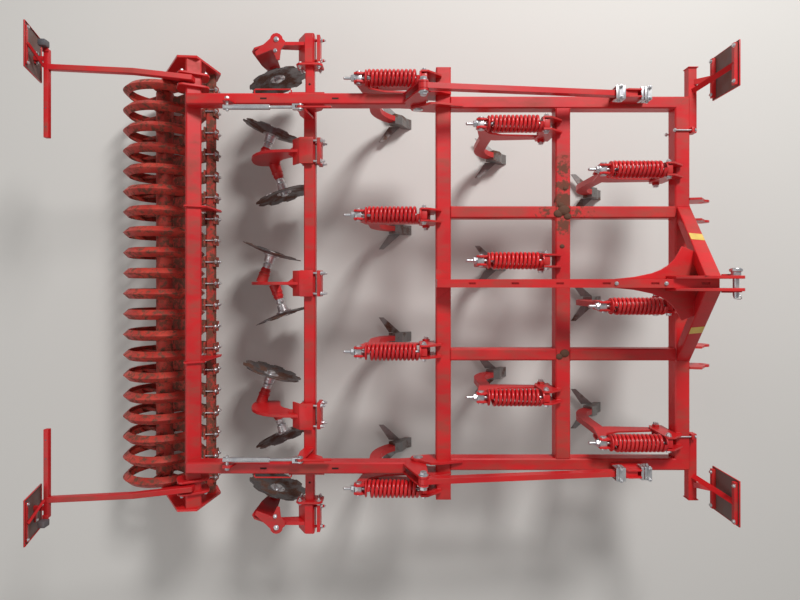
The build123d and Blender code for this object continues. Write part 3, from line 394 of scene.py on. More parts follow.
def hex_bolt(bm, place, along, size, washer=True, stub=0.0):
    """Hexagon head or nut on a washer, its seat at place; size is half its width across corners."""
    along = Vector(along).normalized()
    seat = Vector(place)
    if washer:
        rod(bm, seat, seat + along * size * 0.22, size * 1.30, 18)
        seat = seat + along * size * 0.22
    shoulder = seat + along * size * 0.75
    rod(bm, seat, shoulder, size, 6)
    rod(bm, shoulder, shoulder + along * size * 0.14, size, 6, size * 0.82)
    if stub:
        rod(bm, shoulder, shoulder + along * stub, size * 0.50, 10, size * 0.44)


def slab(bm, low, high, edge, turn=None):
    """Box between two corners with its edges rounded."""
    low = Vector(low)
    high = Vector(high)
    made = bmesh.ops.create_cube(
        bm,
        size=1.0,
        matrix=Matrix.Translation((low + high) / 2) @ Matrix.Diagonal((high - low)).to_4x4(),
    )
    verts = made["verts"]
    if turn is not None:
        bmesh.ops.transform(bm, matrix=turn, verts=verts)
    round_edges(bm, {line for vert in verts for line in vert.link_edges}, edge)


def round_edges(bm, edges, width, segments=2):
    """Bevels a few edges of the mesh."""
    if width:
        bmesh.ops.bevel(
            bm,
            geom=list(edges),
            offset=width,
            affect="EDGES",
            segments=segments,
            profile=0.5,
            material=-1,
        )


def plate(bm, outline, matrix, thick, edge=0.0015):
    """Flat plate from its outline; matrix puts the outline's plane in place, thick runs along its +Z."""
    verts = [bm.verts.new(matrix @ Vector((x, y, 0))) for x, y in outline]
    face = bm.faces.new(verts)
    pushed = bmesh.ops.extrude_face_region(bm, geom=[face])
    tops = [item for item in pushed["geom"] if isinstance(item, bmesh.types.BMVert)]
    step = (matrix @ Vector((0, 0, thick))) - (matrix @ Vector((0, 0, 0)))
    bmesh.ops.translate(bm, vec=step, verts=tops)
    round_edges(bm, {line for vert in verts + tops for line in vert.link_edges}, edge, 1)


def turned(bm, profile, matrix, steps=32, closed=False):
    """Lathe work: the profile of (radius, height) points spun about the matrix's Z."""
    verts = [bm.verts.new((radius, 0, height)) for radius, height in profile]
    pairs = list(zip(verts, verts[1:]))
    if closed:
        pairs.append((verts[-1], verts[0]))
    lines = [bm.edges.new(pair) for pair in pairs]
    known = set(bm.verts) - set(verts)
    bmesh.ops.spin(
        bm,
        geom=verts + lines,
        cent=(0, 0, 0),
        axis=(0, 0, 1),
        dvec=(0, 0, 0),
        angle=2 * pi,
        steps=steps,
        use_merge=True,
    )
    fresh = [vert for vert in bm.verts if vert not in known]
    bmesh.ops.remove_doubles(bm, verts=fresh, dist=1e-6)
    fresh = [vert for vert in bm.verts if vert not in known]
    bmesh.ops.transform(bm, matrix=matrix, verts=fresh)


def wire(bm, points, radius, sides=8):
    """Bent round wire through a few points."""
    points = [Vector(point) for point in points]
    loops = []
    for index, point in enumerate(points):
        before = points[max(index - 1, 0)]
        after = points[min(index + 1, len(points) - 1)]
        made = bmesh.ops.create_circle(
            bm,
            cap_ends=index in (0, len(points) - 1),
            segments=sides,
            radius=radius,
            matrix=pointing(point, after - before),
        )
        loops.append(made["verts"])
    for first, second in zip(loops, loops[1:]):
        rims = {
            line
            for loop in (first, second)
            for vert in loop
            for line in vert.link_edges
            if all(end in loop for end in line.verts)
        }
        bmesh.ops.bridge_loops(bm, edges=list(rims))


def side_slab(bm, side, low, high, edge):
    """Box given for the left side, on the left (side 1) or the right (side -1)."""
    near, far = sorted((side * low[1], side * high[1]))
    slab(bm, at(low[0], near, low[2]), at(high[0], far, high[2]), edge)


SIDEWAYS = Matrix(((1, 0, 0, 0), (0, 0, -1, 0), (0, 1, 0, 0), (0, 0, 0, 1)))


def upright(x, y, z=0.0):
    """Matrix of a plane that stands fore and aft: its x runs forward, its y up."""
    return Matrix.Translation(at(x, y, z)) @ SIDEWAYS


# The depth links fall forward from their rear eyes
LINK_EYE_X = -1.756
LINK_EYE_Z = 1.200
LINK_FALL = tan(radians(6.3))


def clip_top(x):
    """Height of a clip's top over a depth link."""
    return LINK_EYE_Z - LINK_FALL * (x - LINK_EYE_X) + 0.0472


def arc(middle, radius, first, last, count):
    """Points of an arc, its angles in degrees."""
    return [
        (
            middle[0] + radius * cos(radians(first + (last - first) * index / (count - 1))),
            middle[1] + radius * sin(radians(first + (last - first) * index / (count - 1))),
        )
        for index in range(count)
    ]


def keep(name, bm, body, finish, replaced=(), smooth=35):
    """Makes the finished piece and lets it ride on its body."""
    bmesh.ops.recalc_face_normals(bm, faces=bm.faces[:])
    mesh = bpy.data.meshes.new(name)
    bm.to_mesh(mesh)
    bm.free()
    mesh.materials.append(finish)
    if smooth:
        mesh.shade_smooth()
        mesh.set_sharp_from_angle(angle=radians(smooth))
    piece = bpy.data.objects.new(name, mesh)
    bpy.context.scene.collection.objects.link(piece)
    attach(piece, body)
    if replaced:
        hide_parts(*replaced)
    return piece


# Coil springs on the tines

COIL_TURNS = 12
COIL_STEPS = COIL_TURNS * 22
COIL_LONG = 0.345
COIL_BACK = 0.165
WIRE_R = 0.0115
COIL_R = 0.0475
COIL_PITCH = (COIL_LONG - 2 * WIRE_R) / COIL_STEPS
SPRING_Z = 1.030
bm = bmesh.new()
for x, y in TINES:
    front = at(x - COIL_BACK - WIRE_R, y, SPRING_Z)
    start = front + Vector((0, 0, COIL_R))
    made = bmesh.ops.create_circle(
        bm,
        cap_ends=False,
        segments=8,
        radius=WIRE_R,
        matrix=Matrix.Translation(start),
    )
    ring = made["verts"]
    lines = {line for vert in ring for line in vert.link_edges}
    for degrees, axis in ((90, "X"), (180, "Z")):
        bmesh.ops.rotate(bm, verts=ring, cent=start, matrix=Matrix.Rotation(radians(degrees), 3, axis))
    bmesh.ops.spin(
        bm,
        geom=ring + list(lines),
        cent=front,
        axis=(1, 0, 0),
        dvec=(-COIL_PITCH, 0, 0),
        angle=2 * pi * COIL_TURNS,
        steps=COIL_STEPS,
        use_merge=False,
    )
bmesh.ops.holes_fill(bm, edges=bm.edges[:], sides=0)
keep("coil_springs", bm, "main_frame", SPRING_RED, ["springs"], smooth=60)


# Spring eyes: the red eye in front of each spring, its two seats and the yoke behind

bm = bmesh.new()
for x, y in TINES:
    slab(bm, at(x - 0.163, y - 0.030, 1.008), at(x - 0.114, y + 0.030, 1.052), 0.006)
    turned(
        bm,
        [(0.0, 0.0), (0.040, 0.0), (0.046, 0.005), (0.046, 0.013), (0.0, 0.013)],
        pointing(at(x - 0.152, y, SPRING_Z), (-1, 0, 0)),
        24,
    )
    turned(
        bm,
        [(0.012, 0.0), (0.050, 0.0), (0.054, 0.003), (0.054, 0.010), (0.040, 0.015), (0.012, 0.015)],
        pointing(at(x - 0.510, y, SPRING_Z), (-1, 0, 0)),
        28,
        closed=True,
    )
    for side in BOTH:
        low, high = sorted((side * 0.022, side * 0.034))
        slab(bm, at(x - 0.596, y + low, 1.006), at(x - 0.515, y + high, 1.054), 0.004)
keep("spring_eyes", bm, "main_frame", TOOL_RED)

# Spring rods: the bright rod with its threaded end, block, pin and nuts

YOKE_X = -0.565
bm = bmesh.new()
for x, y in TINES:
    rod(bm, at(x - 0.150, y, SPRING_Z), at(x - 0.600, y, SPRING_Z), 0.0105, 14)
    turned(
        bm,
        [
            (radius, 0.600 + 0.0042 * index)
            for index, radius in enumerate([0.0105, 0.0092] * 7 + [0.0105, 0.007, 0.0])
        ],
        pointing(at(x, y, SPRING_Z), (-1, 0, 0)),
        14,
    )
    slab(bm, at(x - 0.590, y - 0.0215, 1.012), at(x - 0.545, y + 0.0215, 1.048), 0.004)
    hex_bolt(bm, at(x - 0.592, y, SPRING_Z), (-1, 0, 0), 0.022)
    pin = at(x + YOKE_X, y, SPRING_Z)
    rod(bm, pin - Vector((0, 0.036, 0)), pin + Vector((0, 0.036, 0)), 0.014, 16)
    for side in BOTH:
        out = (0, side, 0)
        rod(bm, pin + Vector((0, side * 0.034, 0)), pin + Vector((0, side * 0.042, 0)), 0.021, 16)
        hex_bolt(bm, at(x - 0.135, y + side * 0.045, SPRING_Z), out, 0.016, stub=0.007 if side > 0 else 0)
        hex_bolt(bm, at(x - 0.110, y + side * 0.061, 0.800), out, 0.018, washer=False)
keep("spring_rods_bright", bm, "main_frame", ZINC, ["spring_rods"])

# Roller: wedge rings with a hollow inside, spokes, the core tube and its axle

AXLE = at(-3.770, 0, 0.300)
RINGS = 20
FIRST_RING_Y = -1.490
RING_PITCH = -2 * FIRST_RING_Y / (RINGS - 1)
RING_YS = [FIRST_RING_Y + index * RING_PITCH for index in range(RINGS)]
CROSSWISE = Matrix.Rotation(radians(-90), 4, "X")
bm = bmesh.new()
for y in RING_YS:
    turned(
        bm,
        [
            (0.2955, -0.003), (0.2980, 0.0), (0.2955, 0.003), (0.2610, 0.037), (0.2560, 0.038),
            (0.2530, 0.034), (0.2850, 0.0), (0.2530, -0.034), (0.2560, -0.038), (0.2610, -0.037),
        ],
        Matrix.Translation(AXLE + Vector((0, y, 0))) @ CROSSWISE,
        56,
        closed=True,
    )
    for spoke in range(3):
        turn = (
            Matrix.Translation(AXLE + Vector((0, y, 0)))
            @ Matrix.Rotation(radians(-90 + 120 * spoke), 4, "Y")
        )
        slab(bm, (0.060, -0.008, -0.016), (0.270, 0.008, 0.016), 0.002, turn)
turned(
    bm,
    [(0.0, -1.505), (0.066, -1.505), (0.066, 1.505), (0.0, 1.505)],
    Matrix.Translation(AXLE) @ CROSSWISE,
    40,
)
rod(bm, AXLE + Vector((0, -1.570, 0)), AXLE + Vector((0, 1.570, 0)), 0.0299, 28)
keep("roller_rings", bm, "ring_roller", RING_RED, ["roller"])

# Discs: dished and notched, with their hubs

YAW = radians(19)
DISC_Z = 0.400
DISC_R = 0.229
DISC_REACH = 0.240
DISH = 0.026
NOTCHES = 10
# How far a notch and its floor reach round each way, as shares of the notches' pitch
NOTCH_HALF = 0.18
FLOOR_HALF = 0.075
# Radii of a notch's floor and sides, and of the blade's inner ring where it lies under a notch
FLOOR_R = 0.204
NOTCH_SIDE_R = 0.214
UNDER_NOTCH_R = 0.196
# Each inner arm carries two discs
DISC_ARM_YS = (0.930, 0, -0.930)


def disc_spot(hub_x, y, lean):
    """Centre of an inner disc and the way from it to its arm."""
    way = Vector((-sin(YAW), -lean * cos(YAW), 0))
    return at(hub_x, y, DISC_Z) - way * DISC_REACH, way


# Each disc's node, then its centre and the way to its arm
DISCS = []
for y in DISC_ARM_YS:
    for lean, hub_x in ((1, -2.980), (-1, -2.880)):
        DISCS.append(("disc_%d" % (len(DISCS) + 1), disc_spot(hub_x, y, lean)))
INNER_DISCS = DISCS[:]
for side, name in ((1, "outer_disc_left"), (-1, "outer_disc_right")):
    way = Vector((-sin(YAW), side * cos(YAW), 0))
    DISCS.append((name, (at(-2.852, side * 1.588, DISC_Z), way)))

for node, (centre, way) in DISCS:
    bm = bmesh.new()
    radii = [0.040, 0.085, 0.130, 0.170, FLOOR_R, DISC_R]
    front = [(radius, -DISH * (radius / DISC_R) ** 2) for radius in radii]
    back = [(radius, height + 0.005) for radius, height in reversed(front)]
    turned(bm, front + back, Matrix.Identity(4), 120, closed=True)
    for vert in bm.verts:
        radius = vert.co.xy.length
        step = (atan2(vert.co.y, vert.co.x) / (2 * pi) * NOTCHES + 0.5) % 1 - 0.5
        in_notch = abs(step) < NOTCH_HALF
        if in_notch and radius > DISC_R - 0.001:
            shrink = (FLOOR_R if abs(step) < FLOOR_HALF else NOTCH_SIDE_R) / DISC_R
            vert.co.x *= shrink
            vert.co.y *= shrink
            vert.co.z += DISH * (1 - shrink * shrink)
        elif in_notch and radius > FLOOR_R - 0.001:
            shrink = UNDER_NOTCH_R / FLOOR_R
            vert.co.x *= shrink
            vert.co.y *= shrink
    bmesh.ops.transform(bm, matrix=pointing(centre, way), verts=bm.verts[:])
    keep(node + "_blade", bm, BODY_OF[node], DISC_STEEL, [node], smooth=30)
    bm = bmesh.new()
    turned(
        bm,
        [
            (0.0, -0.024), (0.022, -0.024), (0.028, -0.020), (0.030, -0.004), (0.058, -0.002),
            (0.060, 0.0), (0.060, 0.014), (0.044, 0.016), (0.040, 0.030), (0.037, 0.066),
            (0.0, 0.066),
        ],
        pointing(centre, way),
        32,
    )
    for index in range(5):
        angle = 2 * pi * index / 5
        spot = pointing(centre, way) @ Vector((0.047 * cos(angle), 0.047 * sin(angle), -0.002))
        hex_bolt(bm, spot, -way, 0.008, washer=False)
    keep(node + "_hub", bm, BODY_OF[node], DULL_ZINC)

# Inner disc arms: the curved arm, its shoe and clamp on the bar, and the hub housings

BAR_X = -2.540
BAR_Z = 0.750
bm = bmesh.new()
for y in DISC_ARM_YS:
    outline = [
        (-2.586, 0.806), (-2.720, 0.806), (-2.800, 0.793), (-2.872, 0.760), (-2.934, 0.708),
        (-2.982, 0.640), (-3.012, 0.560), (-3.028, 0.470), (-3.028, 0.405), (-3.014, 0.366),
        (-2.984, 0.350), (-2.874, 0.350), (-2.846, 0.362), (-2.832, 0.395), (-2.826, 0.450),
        (-2.806, 0.520), (-2.768, 0.580), (-2.716, 0.628), (-2.650, 0.660), (-2.586, 0.674),
    ]
    plate(bm, outline, upright(0, y + 0.011), 0.022, 0.002)
    slab(bm, at(-2.600, y - 0.092, 0.812), at(-2.510, y + 0.092, 0.824), 0.002)
    plate(
        bm,
        [(-2.660, 0.742), (-2.600, 0.812), (-2.594, 0.823), (-2.606, 0.823), (-2.666, 0.752)],
        upright(0, y + 0.090),
        0.180,
        0.001,
    )
    slab(bm, at(-2.592, y - 0.092, 0.676), at(-2.5805, y + 0.092, 0.812), 0.002)
    slab(bm, at(-2.485, y - 0.092, 0.690), at(-2.459, y + 0.092, 0.810), 0.003)
    for side in BOTH:
        gusset = [(-2.592, side * 0.090), (-2.700, side * 0.011), (-2.592, side * 0.011)]
        if side < 0:
            gusset.reverse()
        plate(bm, gusset, Matrix.Translation(at(0, y, 0.745)), 0.010, 0.001)
for node, (centre, way) in INNER_DISCS:
    turned(
        bm,
        [
            (0.0, 0.112), (0.030, 0.112), (0.033, 0.115), (0.033, 0.124), (0.038, 0.127), (0.040, 0.138),
            (0.036, 0.141), (0.040, 0.158), (0.044, 0.161), (0.044, 0.168), (0.040, 0.171),
            (0.044, 0.232), (0.0, 0.236),
        ],
        pointing(centre, way),
        28,
    )
keep("disc_arms_curved", bm, "disc_frame", ROLLER_FRAME_RED, ["disc_arms"])

# Disc arm fittings: the bright hub necks and the clamps' bolts

bm = bmesh.new()
for node, (centre, way) in INNER_DISCS:
    turned(
        bm,
        [
            (0.0, 0.068), (0.020, 0.068), (0.020, 0.076), (0.032, 0.078), (0.034, 0.084),
            (0.034, 0.094), (0.029, 0.098), (0.029, 0.114), (0.0, 0.114),
        ],
        pointing(centre, way),
        28,
    )
for y in DISC_ARM_YS:
    for side in BOTH:
        for height in (0.801, 0.699):
            bolt_y = y + side * 0.072
            rod(bm, at(-2.596, bolt_y, height), at(-2.428, bolt_y, height), 0.008, 12)
            hex_bolt(bm, at(-2.459, bolt_y, height), (1, 0, 0), 0.0135)
            hex_bolt(bm, at(-2.592, bolt_y, height), (-1, 0, 0), 0.0135)
keep("disc_arm_fittings", bm, "disc_frame", ZINC)

# Outer disc carriers: bolts of the flange, the clamp and the angle plate, and a thin dark disc of painted
# shade for the lock hole

for side, name in ((1, "left"), (-1, "right")):
    body = name + "_outer_slide"
    bm = bmesh.new()
    for x, z in ((-0.066, 0.040), (0.066, 0.040), (-0.066, -0.040), (0.066, -0.040)):
        hex_bolt(bm, at(BAR_X + x, side * 1.544, BAR_Z + z), (0, side, 0), 0.012)
        hex_bolt(bm, at(BAR_X + x, side * 1.530, BAR_Z + z), (0, -side, 0), 0.012, stub=0.010)
    for y in (1.582, 1.725):
        hex_bolt(bm, at(-2.466, side * y, BAR_Z), (1, 0, 0), 0.0135, stub=0.022)
    hex_bolt(bm, at(-2.770, side * 1.711, 0.802), (0, 0, 1), 0.014)
    hex_bolt(bm, at(-2.778, side * 1.632, 0.802), (0, 0, 1), 0.011)
    keep("carrier_bolts_" + name, bm, body, ZINC)
    bm = bmesh.new()
    # Thin near-black disc: painted shade where the lock hole is
    rod(bm, at(BAR_X, side * 1.403, 0.7812), at(BAR_X, side * 1.403, 0.7818), 0.008, 20)
    keep("painted_shade_lock_hole_" + name, bm, body, SHADOW, smooth=0)

# Lug saddles: the scraper bar's two lugs reach over the top of the roller beam

ROLLER_BEAM_X = -3.330
ROLLER_BEAM_Z = 0.860
BEAM_TILT = Matrix.Rotation(radians(-26), 4, "Z")
bm = bmesh.new()
for side in BOTH:
    outline = [
        (-0.030, 0.038), (-0.049, 0.046), (-0.031, 0.083), (-0.016, 0.083),
        (0.075, 0.038), (0.090, 0.012), (0.060, -0.010),
    ]
    plate(bm, outline, upright(ROLLER_BEAM_X, side * 0.532, ROLLER_BEAM_Z), 0.012)
keep("lug_saddles", bm, "roller_frame", ROLLER_FRAME_RED)

# U-bolts of the scrapers, one between each two rings

SCRAPER = at(-3.290, 0, 0.620)
U_HIGH = 0.037
bm = bmesh.new()
for index in range(RINGS - 1):
    y = FIRST_RING_Y + (index + 0.5) * RING_PITCH
    spot = SCRAPER + Vector((0, y, 0))
    half = [(0.060, U_HIGH), (-0.030, U_HIGH), (-0.044, U_HIGH - 0.006), (-0.048, U_HIGH - 0.018)]
    bent = half + [(x, -z) for x, z in reversed(half)]
    wire(bm, [spot + Vector((x, 0, z)) for x, z in bent], 0.0055, 10)
    for height in (U_HIGH, -U_HIGH):
        hex_bolt(bm, spot + Vector((0.0425, 0, height)), (1, 0, 0), 0.0115)
keep("scraper_u_bolts", bm, "roller_frame", DULL_ZINC)

# Headstock: the top link pin with its collar and linch pin, and the bolts of the stay

PIN_X = 0.012
PIN_Z = 1.500
LOWER_HOLE_Z = 1.420
# Half the head's width over its two plates, and a plate's thickness
HEAD_HALF = 0.0445
HEAD_PLATE = 0.018


def stay_top(x):
    """Height of the backstay's top."""
    return 1.000 + tan(radians(14.5)) * (x + 1.660) + 0.0516


bm = bmesh.new()
turned(
    bm,
    [(0.0158, 0.0), (0.026, 0.0), (0.026, 0.020), (0.030, 0.023), (0.0158, 0.023)],
    pointing(at(PIN_X, HEAD_HALF + 0.0002, PIN_Z), (0, 1, 0)),
    28,
    closed=True,
)
rod(bm, at(PIN_X, 0.082, PIN_Z), at(PIN_X, 0.088, PIN_Z), 0.030, 28, 0.026)
rod(bm, at(PIN_X, -0.069, PIN_Z), at(PIN_X, -0.083, PIN_Z), 0.0157, 24, 0.012)
rod(bm, at(PIN_X, -0.063, 1.478), at(PIN_X, -0.063, 1.528), 0.0045, 12)
wire(
    bm,
    [
        at(PIN_X, -0.063, 1.526), at(0.018, -0.070, 1.532), at(0.030, -0.084, 1.524),
        at(0.036, -0.090, 1.505), at(0.030, -0.090, 1.484), at(0.016, -0.086, 1.474),
    ],
    0.0022,
)
for x in (-0.331, -0.597):
    hex_bolt(bm, at(x, 0, stay_top(x)), (-0.250, 0, 0.968), 0.009)
keep("top_link_fittings", bm, "main_frame", ZINC)

# Washers and collars round the head's two holes

bm = bmesh.new()
turned(
    bm,
    [(0.0165, 0.0), (0.030, 0.0), (0.030, 0.006), (0.0165, 0.006)],
    pointing(at(PIN_X, -HEAD_HALF - 0.0002, PIN_Z), (0, -1, 0)),
    28,
    closed=True,
)
for side in BOTH:
    turned(
        bm,
        [(0.0163, 0.0), (0.030, 0.0), (0.032, 0.004), (0.030, 0.010), (0.0163, 0.010)],
        pointing(at(PIN_X, side * HEAD_HALF, LOWER_HOLE_Z), (0, side, 0)),
        28,
        closed=True,
    )
keep("top_link_washers", bm, "main_frame", FRAME_RED)

# Mast: two box legs that lean in and back, the head plates and the curved webs

LEG_X = 0.005
LEG_FOOT = 0.465
LEG_BACK = 0.125
LEG_RISE = 0.550


def leg_lean(side):
    """Way from a leg's foot to its top."""
    return Vector((-LEG_BACK, -side * LEG_FOOT, LEG_RISE))


bm = bmesh.new()
for side in BOTH:
    foot_spot = Matrix.Translation(at(LEG_X, side * LEG_FOOT, BEAM_TOP))
    made = bmesh.ops.create_grid(
        bm,
        x_segments=1,
        y_segments=1,
        size=0.5,
        matrix=foot_spot @ Matrix.Diagonal((0.090, 0.110, 1, 1)),
    )
    foot = made["verts"][0].link_faces[0]
    pushed = bmesh.ops.extrude_face_region(bm, geom=[foot])
    tops = [item for item in pushed["geom"] if isinstance(item, bmesh.types.BMVert)]
    for vert in tops:
        reach = (side * vert.co.y - HEAD_HALF) / LEG_FOOT
        vert.co += leg_lean(side) * reach
    lines = [
        line
        for vert in tops
        for line in vert.link_edges
        if line.other_vert(vert) not in tops
    ]
    round_edges(bm, set(lines), 0.007, 3)
for side in BOTH:
    spot = upright(0, side * (HEAD_HALF - HEAD_PLATE / 2) + HEAD_PLATE / 2)
    outline = (
        [(-0.290, 1.285), (-0.290, 1.424), (-0.160, 1.505), (-0.110, 1.537)]
        + arc((PIN_X, PIN_Z), 0.045, 96, 0, 8)
        + arc((PIN_X, LOWER_HOLE_Z), 0.045, 0, -40, 5)
        + [(0.010, 1.285)]
    )
    plate(bm, list(reversed(outline)), spot, HEAD_PLATE, 0.0015)
for side in BOTH:
    outline = [
        (-0.193, 0.226), (-0.118, 0.196), (-0.104, 0.120), (-0.076, 0.044), (-0.290, 0.044),
        (-0.290, 0.0265), (-0.608, 0.0265), (-0.480, 0.040), (-0.374, 0.062), (-0.318, 0.084),
        (-0.275, 0.111), (-0.240, 0.145), (-0.216, 0.183),
    ]
    if side < 0:
        outline = [(x, -y) for x, y in reversed(outline)]
    plate(bm, list(reversed(outline)), Matrix.Translation(at(0, 0, 1.294)), 0.012, 0.002)
keep("mast_frame", bm, "main_frame", FRAME_RED, ["mast"])

# Blank stickers on the outer faces of the legs

STICKER_Z = 1.221
bm = bmesh.new()
for side in BOTH:
    lean = leg_lean(side).normalized()
    out = lean.cross(Vector((side, 0, 0))).normalized()
    spread = out.cross(lean)
    share = (STICKER_Z - BEAM_TOP) / LEG_RISE
    spot = at(LEG_X - LEG_BACK * share, side * (LEG_FOOT * (1 - share) + 0.055), STICKER_Z)
    spot += out * 0.0004
    turn = Matrix((
        (lean.x, spread.x, out.x, spot.x),
        (lean.y, spread.y, out.y, spot.y),
        (lean.z, spread.z, out.z, spot.z),
        (0, 0, 0, 1),
    ))
    outline = [(-0.034, -0.040), (0.034, -0.040), (0.034, 0.040), (-0.034, 0.040)]
    plate(bm, outline, turn, 0.0008, 0)
keep("leg_stickers", bm, "main_frame", STICKER, smooth=0)

# Bows of round bar on top of the roller arms

bm = bmesh.new()
for side in BOTH:
    wire(
        bm,
        [
            at(-2.880, side * 1.270, 0.955), at(-2.880, side * 1.294, 0.962), at(-2.872, side * 1.300, 0.966),
            at(-2.640, side * 1.300, 0.966), at(-2.632, side * 1.294, 0.962), at(-2.632, side * 1.270, 0.955),
        ],
        0.005,
        10,
    )
keep("arm_bows", bm, "roller_frame", ROLLER_FRAME_RED)

# Lever strips beside the spindles

LEVER_Y = 1.160
bm = bmesh.new()
for side in BOTH:
    y = side * LEVER_Y
    slab(bm, at(-2.545, y - 0.006, 1.016), at(-2.354, y + 0.006, 1.044), 0.003)
keep("lever_strips", bm, "disc_frame", ROLLER_FRAME_RED)

# Roller arms: thin dark patches of painted shade for the slots in the top and the holes in the side, then the
# bolts

# Thin near-black slabs and discs: painted shade standing for the slots and holes
bm = bmesh.new()
for side in BOTH:
    y = side * ARM_Y
    for x in (-2.815, -2.335):
        slab(bm, at(x - 0.022, y - 0.006, 0.9792), at(x + 0.022, y + 0.006, 0.9806), 0.0004)
    for x in (-3.000, -2.500, -2.100):
        rod(bm, at(x, side * 1.2715, 0.930), at(x, side * 1.2732, 0.930), 0.009, 16)
keep("painted_shade_arm_holes", bm, "roller_frame", SHADOW, smooth=0)

bm = bmesh.new()
for side in BOTH:
    for way in BOTH:
        pivot = at(-2.560, side * (ARM_Y + way * 0.0505), 0.838)
        hex_bolt(bm, pivot, (0, side * way, 0), 0.018, washer=False)
    hex_bolt(bm, at(-3.040, side * 1.2115, 1.030), (0, side, 0), 0.016)
    for way in BOTH:
        hex_bolt(bm, at(LINK_EYE_X, side * ARM_Y + way * 0.0320, LINK_EYE_Z), (0, way, 0), 0.024)
    for x, z in ((-3.800, 0.345), (-3.740, 0.345), (-3.740, 0.255), (-3.800, 0.255)):
        hex_bolt(bm, at(x, side * 1.574, z), (0, side, 0), 0.010)
    for x, z in ((-3.400, 0.800), (-3.290, 0.780), (-3.290, 0.575), (-3.320, 0.665)):
        hex_bolt(bm, at(x, side * 1.545, z), (0, side, 0), 0.012)
keep("roller_frame_bolts", bm, "roller_frame", ZINC)

# Depth stops: bolts of the clips, and the pivot pins' washers

bm = bmesh.new()
for side in BOTH:
    y = side * ARM_Y
    for x in (-0.477, -0.283):
        for way in BOTH:
            hex_bolt(bm, at(x, y + way * 0.035, clip_top(x)), (0, 0, 1), 0.0105, stub=0.010)
            hex_bolt(bm, at(x, y + way * 0.0425, clip_top(x) - 0.045), (0, way, 0), 0.009)
    for way in BOTH:
        turned(
            bm,
            [(0.0202, 0.0), (0.034, 0.0), (0.034, 0.004), (0.0202, 0.004)],
            pointing(at(-1.780, y + way * 0.0488, 0.900), (0, way, 0)),
            24,
            closed=True,
        )
keep("depth_stop_bolts", bm, "main_frame", ZINC)

# Loose spacer flaps beside the clips of the depth stops

bm = bmesh.new()
for side in BOTH:
    y = side * ARM_Y
    for x, drop in ((-0.500, 0.004), (-0.454, 0.003), (-0.306, 0.004), (-0.328, 0.007)):
        top = clip_top(x) - drop
        slab(bm, at(x - 0.009, y - 0.0425, top - 0.006), at(x + 0.009, y + 0.0425, top), 0.0015)
        for way in BOTH:
            inner, outer = sorted((y + way * 0.0365, y + way * 0.0425))
            slab(bm, at(x - 0.009, inner, top - 0.070), at(x + 0.009, outer, top - 0.006), 0.0015)
keep("stop_flaps", bm, "main_frame", ZINC)

# Front panels: bolts of the rails and the long clamp bolts round the front beam

CLAMP_Y = 1.030
bm = bmesh.new()
for side in BOTH:
    for y in (1.253, 1.473):
        for z in (0.9945, 1.2395):
            hex_bolt(bm, at(0.165, side * y, z), (-1, 0, 0), 0.010)
            rod(bm, at(0.194, side * y, z), at(0.197, side * y, z), 0.011, 16, 0.008)
    y = side * CLAMP_Y
    for z in (0.958, 0.842):
        rod(bm, at(-0.062, y, z), at(0.088, y, z), 0.0055, 12)
        hex_bolt(bm, at(-0.054, y, z), (-1, 0, 0), 0.0105)
        hex_bolt(bm, at(0.074, y, z), (1, 0, 0), 0.0105)
keep("front_panel_bolts", bm, "main_frame", ZINC)

# Front panels: the red rims and the clamps' plates

PANEL_HALF = 0.141
PANEL_FOOT = 0.970
PANEL_TOP = PANEL_FOOT + 2 * PANEL_HALF
RIM_HALF = 0.0015
bm = bmesh.new()
for side in BOTH:
    ends = (side * 1.363 - PANEL_HALF, side * 1.363 + PANEL_HALF)
    for y in ends:
        slab(bm, at(0.188, y - RIM_HALF, PANEL_FOOT), at(0.196, y + RIM_HALF, PANEL_TOP), 0.0006)
    for z in (PANEL_FOOT, PANEL_TOP):
        slab(bm, at(0.188, ends[0], z - RIM_HALF), at(0.196, ends[1], z + RIM_HALF), 0.0006)
    y = side * CLAMP_Y
    slab(bm, at(0.052, y - 0.018, 0.835), at(0.070, y + 0.018, 0.972), 0.002)
keep("front_panel_rims", bm, "main_frame", FRAME_RED)

# Rear panels: bent arms clamped on the roller beam, the cross bars, braces and rims

PANEL_LEAN = Matrix.Rotation(atan2(0.085, 0.282), 4, "Y")


def panel_place(side):
    """Matrix of a leaning rear panel, its foot at the origin and its height along +Z."""
    return Matrix.Translation(at(-4.288, side * 1.471, 1.000)) @ PANEL_LEAN


